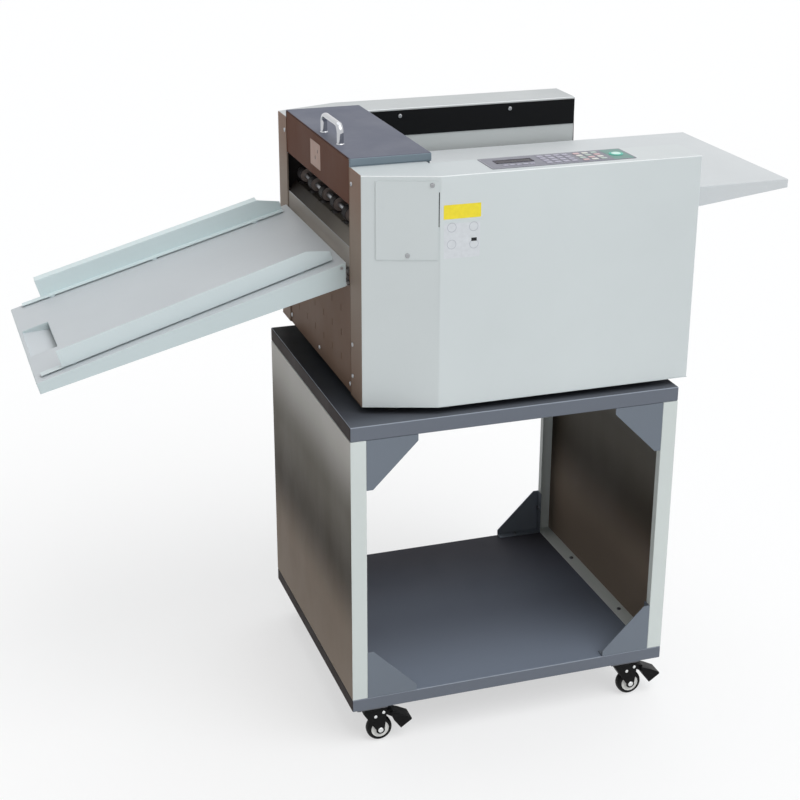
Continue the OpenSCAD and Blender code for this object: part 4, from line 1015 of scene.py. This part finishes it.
def dress_casing():
    """Covers, lid, tray, and every sheet and block that keeps one paint."""
    for side, paint in (("near", "cover_paint"), ("rear", "rear_paint")):
        paints = [paint, "end_paint", "cover_fold", side + "_top"]
        dress(side + "_cover", 2.2, paints=paints, choose=end_face)
    dress("delivery_panel", 0, paints=["panel_shade_and_reflection"])
    for node, fold in PLAIN_FOLDS.items():
        dress(node, fold)
    for side in ("near", "rear"):
        dress(side + "_frame", 0, paints=["frame_black"])
        dress("tray_guide_" + side, 1.0, paints=["fence_" + side])
    dress("lid", 2.4, paints=["lid_paint", "flap_paint", "lip_paint"], choose=lid_face)
    dress("tray_pan", 1.8, paints=["tray_paint", "tray_wall"], choose=tray_face)


def add_cover_screws():
    """Screws in the covers' flanges, the end panel's foot, the black panel and the die's plate."""
    head = screw_template(4.2, 2.2, "cross")
    spots = [at(0, y, z) @ TO_LEFT for y in (-FLANGE_SCREW_Y, FLANGE_SCREW_Y) for z in FLANGE_SCREW_ZS]
    spots += [at(COVER_T, y, FOOT_SCREW_Z) @ TO_LEFT for y in (-FOOT_SCREW_Y, 0, FOOT_SCREW_Y)]
    spots += [at(x, CHANNEL_HALF - COVER_T, WALL_SCREW_Z) @ TO_FRONT for x in WALL_SCREW_XS]
    draw_screws("cover_screw_heads", MACHINE, "zinc", "machine", head, spots, ["cover_screws"])
    spots = [at(x, -COVER_T, z) @ TO_FRONT for x, z in PLATE_SCREWS]
    draw_screws("plate_screw_heads", CORNER_FACE, "zinc", "machine", head, spots)


def add_feet():
    """Rubber feet with a bead round the floor end."""
    profile = [(6, -13), (12, -14), (15, -14), (16, -13), (16, -10), (15.2, -9.4), (15.6, -8.8),
               (14.2, 2), (13, 3), (0, 3)]

    def drawing(bm):
        for x in FOOT_XS:
            for y in (FOOT_INSET - HALF_DEPTH, REAR_FOOT_Y):
                add_part(bm, at(x, y, 0), add_lathe, profile, 48)

    draw("rubber_feet", MACHINE, ["foot_rubber"], "machine", drawing, ["machine_feet"])


def add_handle():
    """A bent chrome bar, broader than it is thick, with a collar at each foot."""
    half = HANDLE_L / 2
    rise = HANDLE_H - HANDLE_R - HANDLE_BEND
    collar = [(7.5, 0), (7.5, 0.9), (6.9, 1.7), (6, 2.1), (4.6, 2.3)]

    def drawing(bm):
        path = [(0, -half, 0)]
        for side in (-1, 1):
            turns = [math.radians(a) for a in range(0, 91, 9)]
            arc = [(0, side * (half - HANDLE_BEND + HANDLE_BEND * math.cos(t)),
                    rise + HANDLE_BEND * math.sin(t)) for t in turns]
            path += arc if side < 0 else arc[::-1]
        path.append((0, half, 0))
        add_tube(bm, path, HANDLE_R, 32)
        bm.transform(Matrix.Scale(HANDLE_BREADTH, 4, (1, 0, 0)))
        for y in (-half, half):
            add_part(bm, at(0, y, 0), add_lathe, collar, 40)

    place = MACHINE @ at(HANDLE_X, -HANDLE_OFF, LID_TOP)
    draw("chrome_handle", place, ["chrome"], "lid", drawing, ["lid_handle"])


def add_hinge_pins():
    """A pin at each side of the lid, with eased ends."""
    thin = HINGE_PIN_R - 0.6
    profile = [(thin, HINGE_IN), (HINGE_PIN_R, HINGE_IN + 0.7),
               (HINGE_PIN_R, HINGE_OUT - 0.6), (thin, HINGE_OUT)]

    def drawing(bm):
        for turn in (TO_FRONT, TO_BACK):
            add_part(bm, turn, add_lathe, profile, 32)

    place = MACHINE @ at(HINGE_X, 0, HINGE_Z)
    draw("hinge_pins", place, ["zinc"], "machine", drawing, ["lid_hinge_pins"])


# -------- rollers and creasing unit


def add_rollers():
    """Exit rollers: six grooved rubber sleeves with a plastic hub at each side."""
    half, r = ROLLER_W / 2, ROLLER_R
    hub = [(SHAFT_R, -half), (8, -half), (8.4, -half + 0.5), (r - 1, -half + 0.5), (r, -half + 1.6)]
    groove = [(r, 0), (r, 2.6), (r - 0.7, 3.0), (r - 0.7, 3.6)]
    profile = hub + [(radius, -half + 2 + z + 4 * n) for n in range(5) for radius, z in groove]
    profile += [(radius, -z) for radius, z in hub[::-1]]
    paints = [1, 1, 1] + [0] * (len(profile) - 7) + [1, 1, 1]

    def sleeves(bm):
        for y in ROLLER_YS:
            add_part(bm, TO_BACK @ at(0, 0, y), add_lathe, profile, 56, paints)

    for level, z in (("upper", EXIT_UPPER_Z), ("lower", EXIT_LOWER_Z)):
        place = MACHINE @ at(EXIT_X, 0, z)
        draw("sleeves_" + level, place, ["roller_rubber", "hub_plastic"], "exit_" + level, sleeves,
             ["exit_" + level + "_rollers"], smooth=30)
    for node in ("exit_upper_shaft", "exit_lower_shaft", "feed_upper_roller", "feed_lower_roller",
                 "crease_shaft", "motor_pulley"):
        dress(node, 0, 0.25)


def add_chute():
    """A folded sheet that leads paper off the exit rollers, with a window for each lower roller."""
    half = MOUTH_HALF - 1
    window = ROLLER_W / 2 + 1.5
    nose = [(2.0, 275.2), (3.2, 275.2), (15.0, 290.2), (17.5, 292.6), (17.5, 294.0), (14.6, 291.8)]
    shelf = [(17.5, 292.6), (45.0, 293.6), (45.0, 295.0), (17.5, 294.0)]

    def drawing(bm):
        add_prism(bm, nose, -half, half)
        edges = [-half] + [y + side * window for y in ROLLER_YS for side in (-1, 1)] + [half]
        for low, high in zip(edges[::2], edges[1::2]):
            add_prism(bm, shelf, low, high)
        bm.transform(TO_FRONT)

    draw("exit_chute", MACHINE, ["chute_shade"], "machine", drawing, smooth=30)


def add_beam_screws():
    """A row of screws along the crease beam's delivery face."""
    head = screw_template(3.6, 2.0, "hexagon")
    ys = [k * BEAM_SCREW_PITCH for k in range(-BEAM_SCREWS_A_SIDE, BEAM_SCREWS_A_SIDE + 1)]
    spots = [at(BEAM_FACE_X, y, BEAM_SCREW_Z) @ TO_LEFT for y in ys]
    draw_screws("beam_screws", MACHINE, "zinc_dark", "crease_head", head, spots)


# -------- control panel and labels


def add_pad(bm, middle, size, height, radius, paint, ease=0.25):
    """A raised pad with round corners, its middle at the given place on the panel."""
    part = bmesh.new()
    outline = [(x + middle[0], y + middle[1]) for x, y in rounded(*size, radius)]
    add_prism(part, outline, height[0], height[1])
    top = [e for e in part.edges if all(abs(v.co.z - height[1]) < 1e-6 for v in e.verts)]
    soften(part, top, ease, 2)
    merge(bm, part, paint)


def add_frame(bm, low, high, width, heights, paint, sides=4):
    """Flat bars round a rectangle: the near one, the far one, the left one and the right one."""
    (x0, y0), (x1, y1) = low, high
    bars = (((x0, y0), (x1, y0 + width)), ((x0, y1 - width), (x1, y1)),
            ((x0, y0), (x0 + width, y1)), ((x1 - width, y0), (x1, y1)))
    for near, far in bars[:sides]:
        add_part(bm, HERE, add_box, (*near, heights[0]), (*far, heights[1]), paint=paint)


def draw_overlay(bm):
    """The printed film: a pale line round three of its sides, and a green field at its right end."""
    add_pad(bm, (PANEL_L / 2, PANEL_W / 2), (PANEL_L, PANEL_W), (0, 0.8), 3, 0)
    low, high = (LINE_IN, LINE_IN), (PANEL_L - LINE_IN, PANEL_W - LINE_IN)
    add_frame(bm, low, high, 0.5, (0.7, 0.86), 1, sides=3)
    add_pad(bm, (251, PANEL_W / 2), (38, PANEL_W - 5), (0.7, 0.9), 3, 2, 0.05)


def add_keys(bm, first, pitch, counts, size, radius, paints):
    """A block of like keys from its lowest left one, whose paints take turns."""
    for column in range(counts[0]):
        for row in range(counts[1]):
            middle = (first[0] + pitch[0] * column, first[1] + pitch[1] * row)
            add_pad(bm, middle, size, KEY_HEIGHT, radius, paints[(column + 2 * row) % len(paints)])


def draw_keys(bm):
    """Domed keys: a row below the display, a block of grey keys, coloured function keys, and start."""
    add_keys(bm, (31, 17), (12.5, 0), (5, 1), (8.5, 6), 1.2, (0,))
    add_keys(bm, (112, 15), (16, 15), (4, 4), (11, 9), 1.6, (0,))
    add_keys(bm, (182, 15), (17, 15), (3, 4), (11.5, 9), 1.6, (1, 2, 3))
    start = bmesh.new()
    add_lathe(start, [(13, 0.8), (13, 1.6), (12, 2.0), (9.4, 2.0), (9.2, 1.7), (8.6, 1.7)], 48, [4] * 5)
    add_lathe(start, [(8.6, 1.0), (8.6, 2.2), (7.6, 2.6), (0, 2.9)], 48, [5] * 3)
    start.transform(at(*START_KEY, 0))
    merge(bm, start)


def draw_display(bm):
    """A glass window in a raised frame."""
    low = Vector((DISPLAY_X, PANEL_W / 2 - 5))
    size = Vector((DISPLAY_L, DISPLAY_W))
    add_pad(bm, low + size / 2, size, (0.8, 1.15), 1, 0, 0.1)
    add_frame(bm, low, low + size, DISPLAY_FRAME, (1.0, 1.4), 1)


def add_control_panel():
    """The film with its keys, and the display."""
    place = MACHINE @ at(PANEL_X, -HALF_DEPTH + PANEL_IN, COVER_TOP)
    draw("panel_film", place, ["overlay", "print_pale", "field_green"], "machine", draw_overlay,
         ["control_panel"])
    draw("panel_keys", place, ["key_grey", "key_pink", "key_white", "key_sage", "start_ring", "start_key"],
         "machine", draw_keys)
    draw("display_glass", place, ["display", "bezel"], "machine", draw_display,
         ["display_window"])


def add_labels():
    """Plain printed plates: a yellow strip, a pale plate with rings, and the flap's plate."""
    ring = [(7.4, 0.1), (7.4, 0.26), (8.4, 0.26), (8.4, 0.1)]

    def strip(bm):
        add_pad(bm, (LABEL_X, 356.5), (68, 25), (0, 0.25), 1.5, 0, 0.1)

    def plate(bm):
        add_pad(bm, (LABEL_X, 305), (66, 62), (0, 0.2), 1.5, 0, 0.05)
        for x, z in LABEL_RINGS:
            add_part(bm, at(x, z, 0), add_lathe, ring, 48, [1] * 3)
        add_part(bm, HERE, add_box, (185, 302, 0.1), (195, 308, 0.28), paint=2)

    def flap_plate(bm):
        add_pad(bm, (-3.5, 393.5), (67, 47), (0, 0.25), 2, 0, 0.1)
        for y, z in FLAP_SPOTS:
            add_pad(bm, (y, z), (6, 7), (0.15, 0.3), 2.5, 1, 0.05)

    front = MACHINE @ at(0, -HALF_DEPTH, 0) @ TO_FRONT
    flap = MACHINE @ Matrix(((0, 0, -1, 0), (-1, 0, 0, 0), (0, 1, 0, 0), (0, 0, 0, 1)))
    draw("yellow_strip", front, ["label_yellow"], "machine", strip)
    draw("pale_plate", front, ["label_pale", "label_ring", "label_black"], "machine", plate)
    draw("flap_plate", flap, ["label_tan", "label_brown"], "lid", flap_plate)


def add_inlet_pins():
    """Three flat pins inside the power inlet."""
    near, far = HALF_DEPTH - 16, HALF_DEPTH - 7.8

    def drawing(bm):
        for dx in (-6, 0, 6):
            x = INLET_X + dx
            low, high = (x - 1.1, near, INLET_Z - 2.1), (x + 1.1, far, INLET_Z + 2.1)
            add_part(bm, HERE, add_box, low, high, ease=(0.5, 0.4, 2))

    draw("inlet_pins", MACHINE, ["zinc"], "machine", drawing)


# -------- scene

bpy.context.scene.view_settings.view_transform = "Standard"
add_camera()
add_world()
add_sun("key", **KEY_LIGHT)
add_sun("back", **BACK_LIGHT)
add_floor()
paint_nodes()

dress_stand()
add_stand_screws()
add_castors()
dress_casing()
add_cover_screws()
add_feet()
add_handle()
add_hinge_pins()
add_rollers()
add_chute()
add_beam_screws()
add_control_panel()
add_labels()
add_inlet_pins()
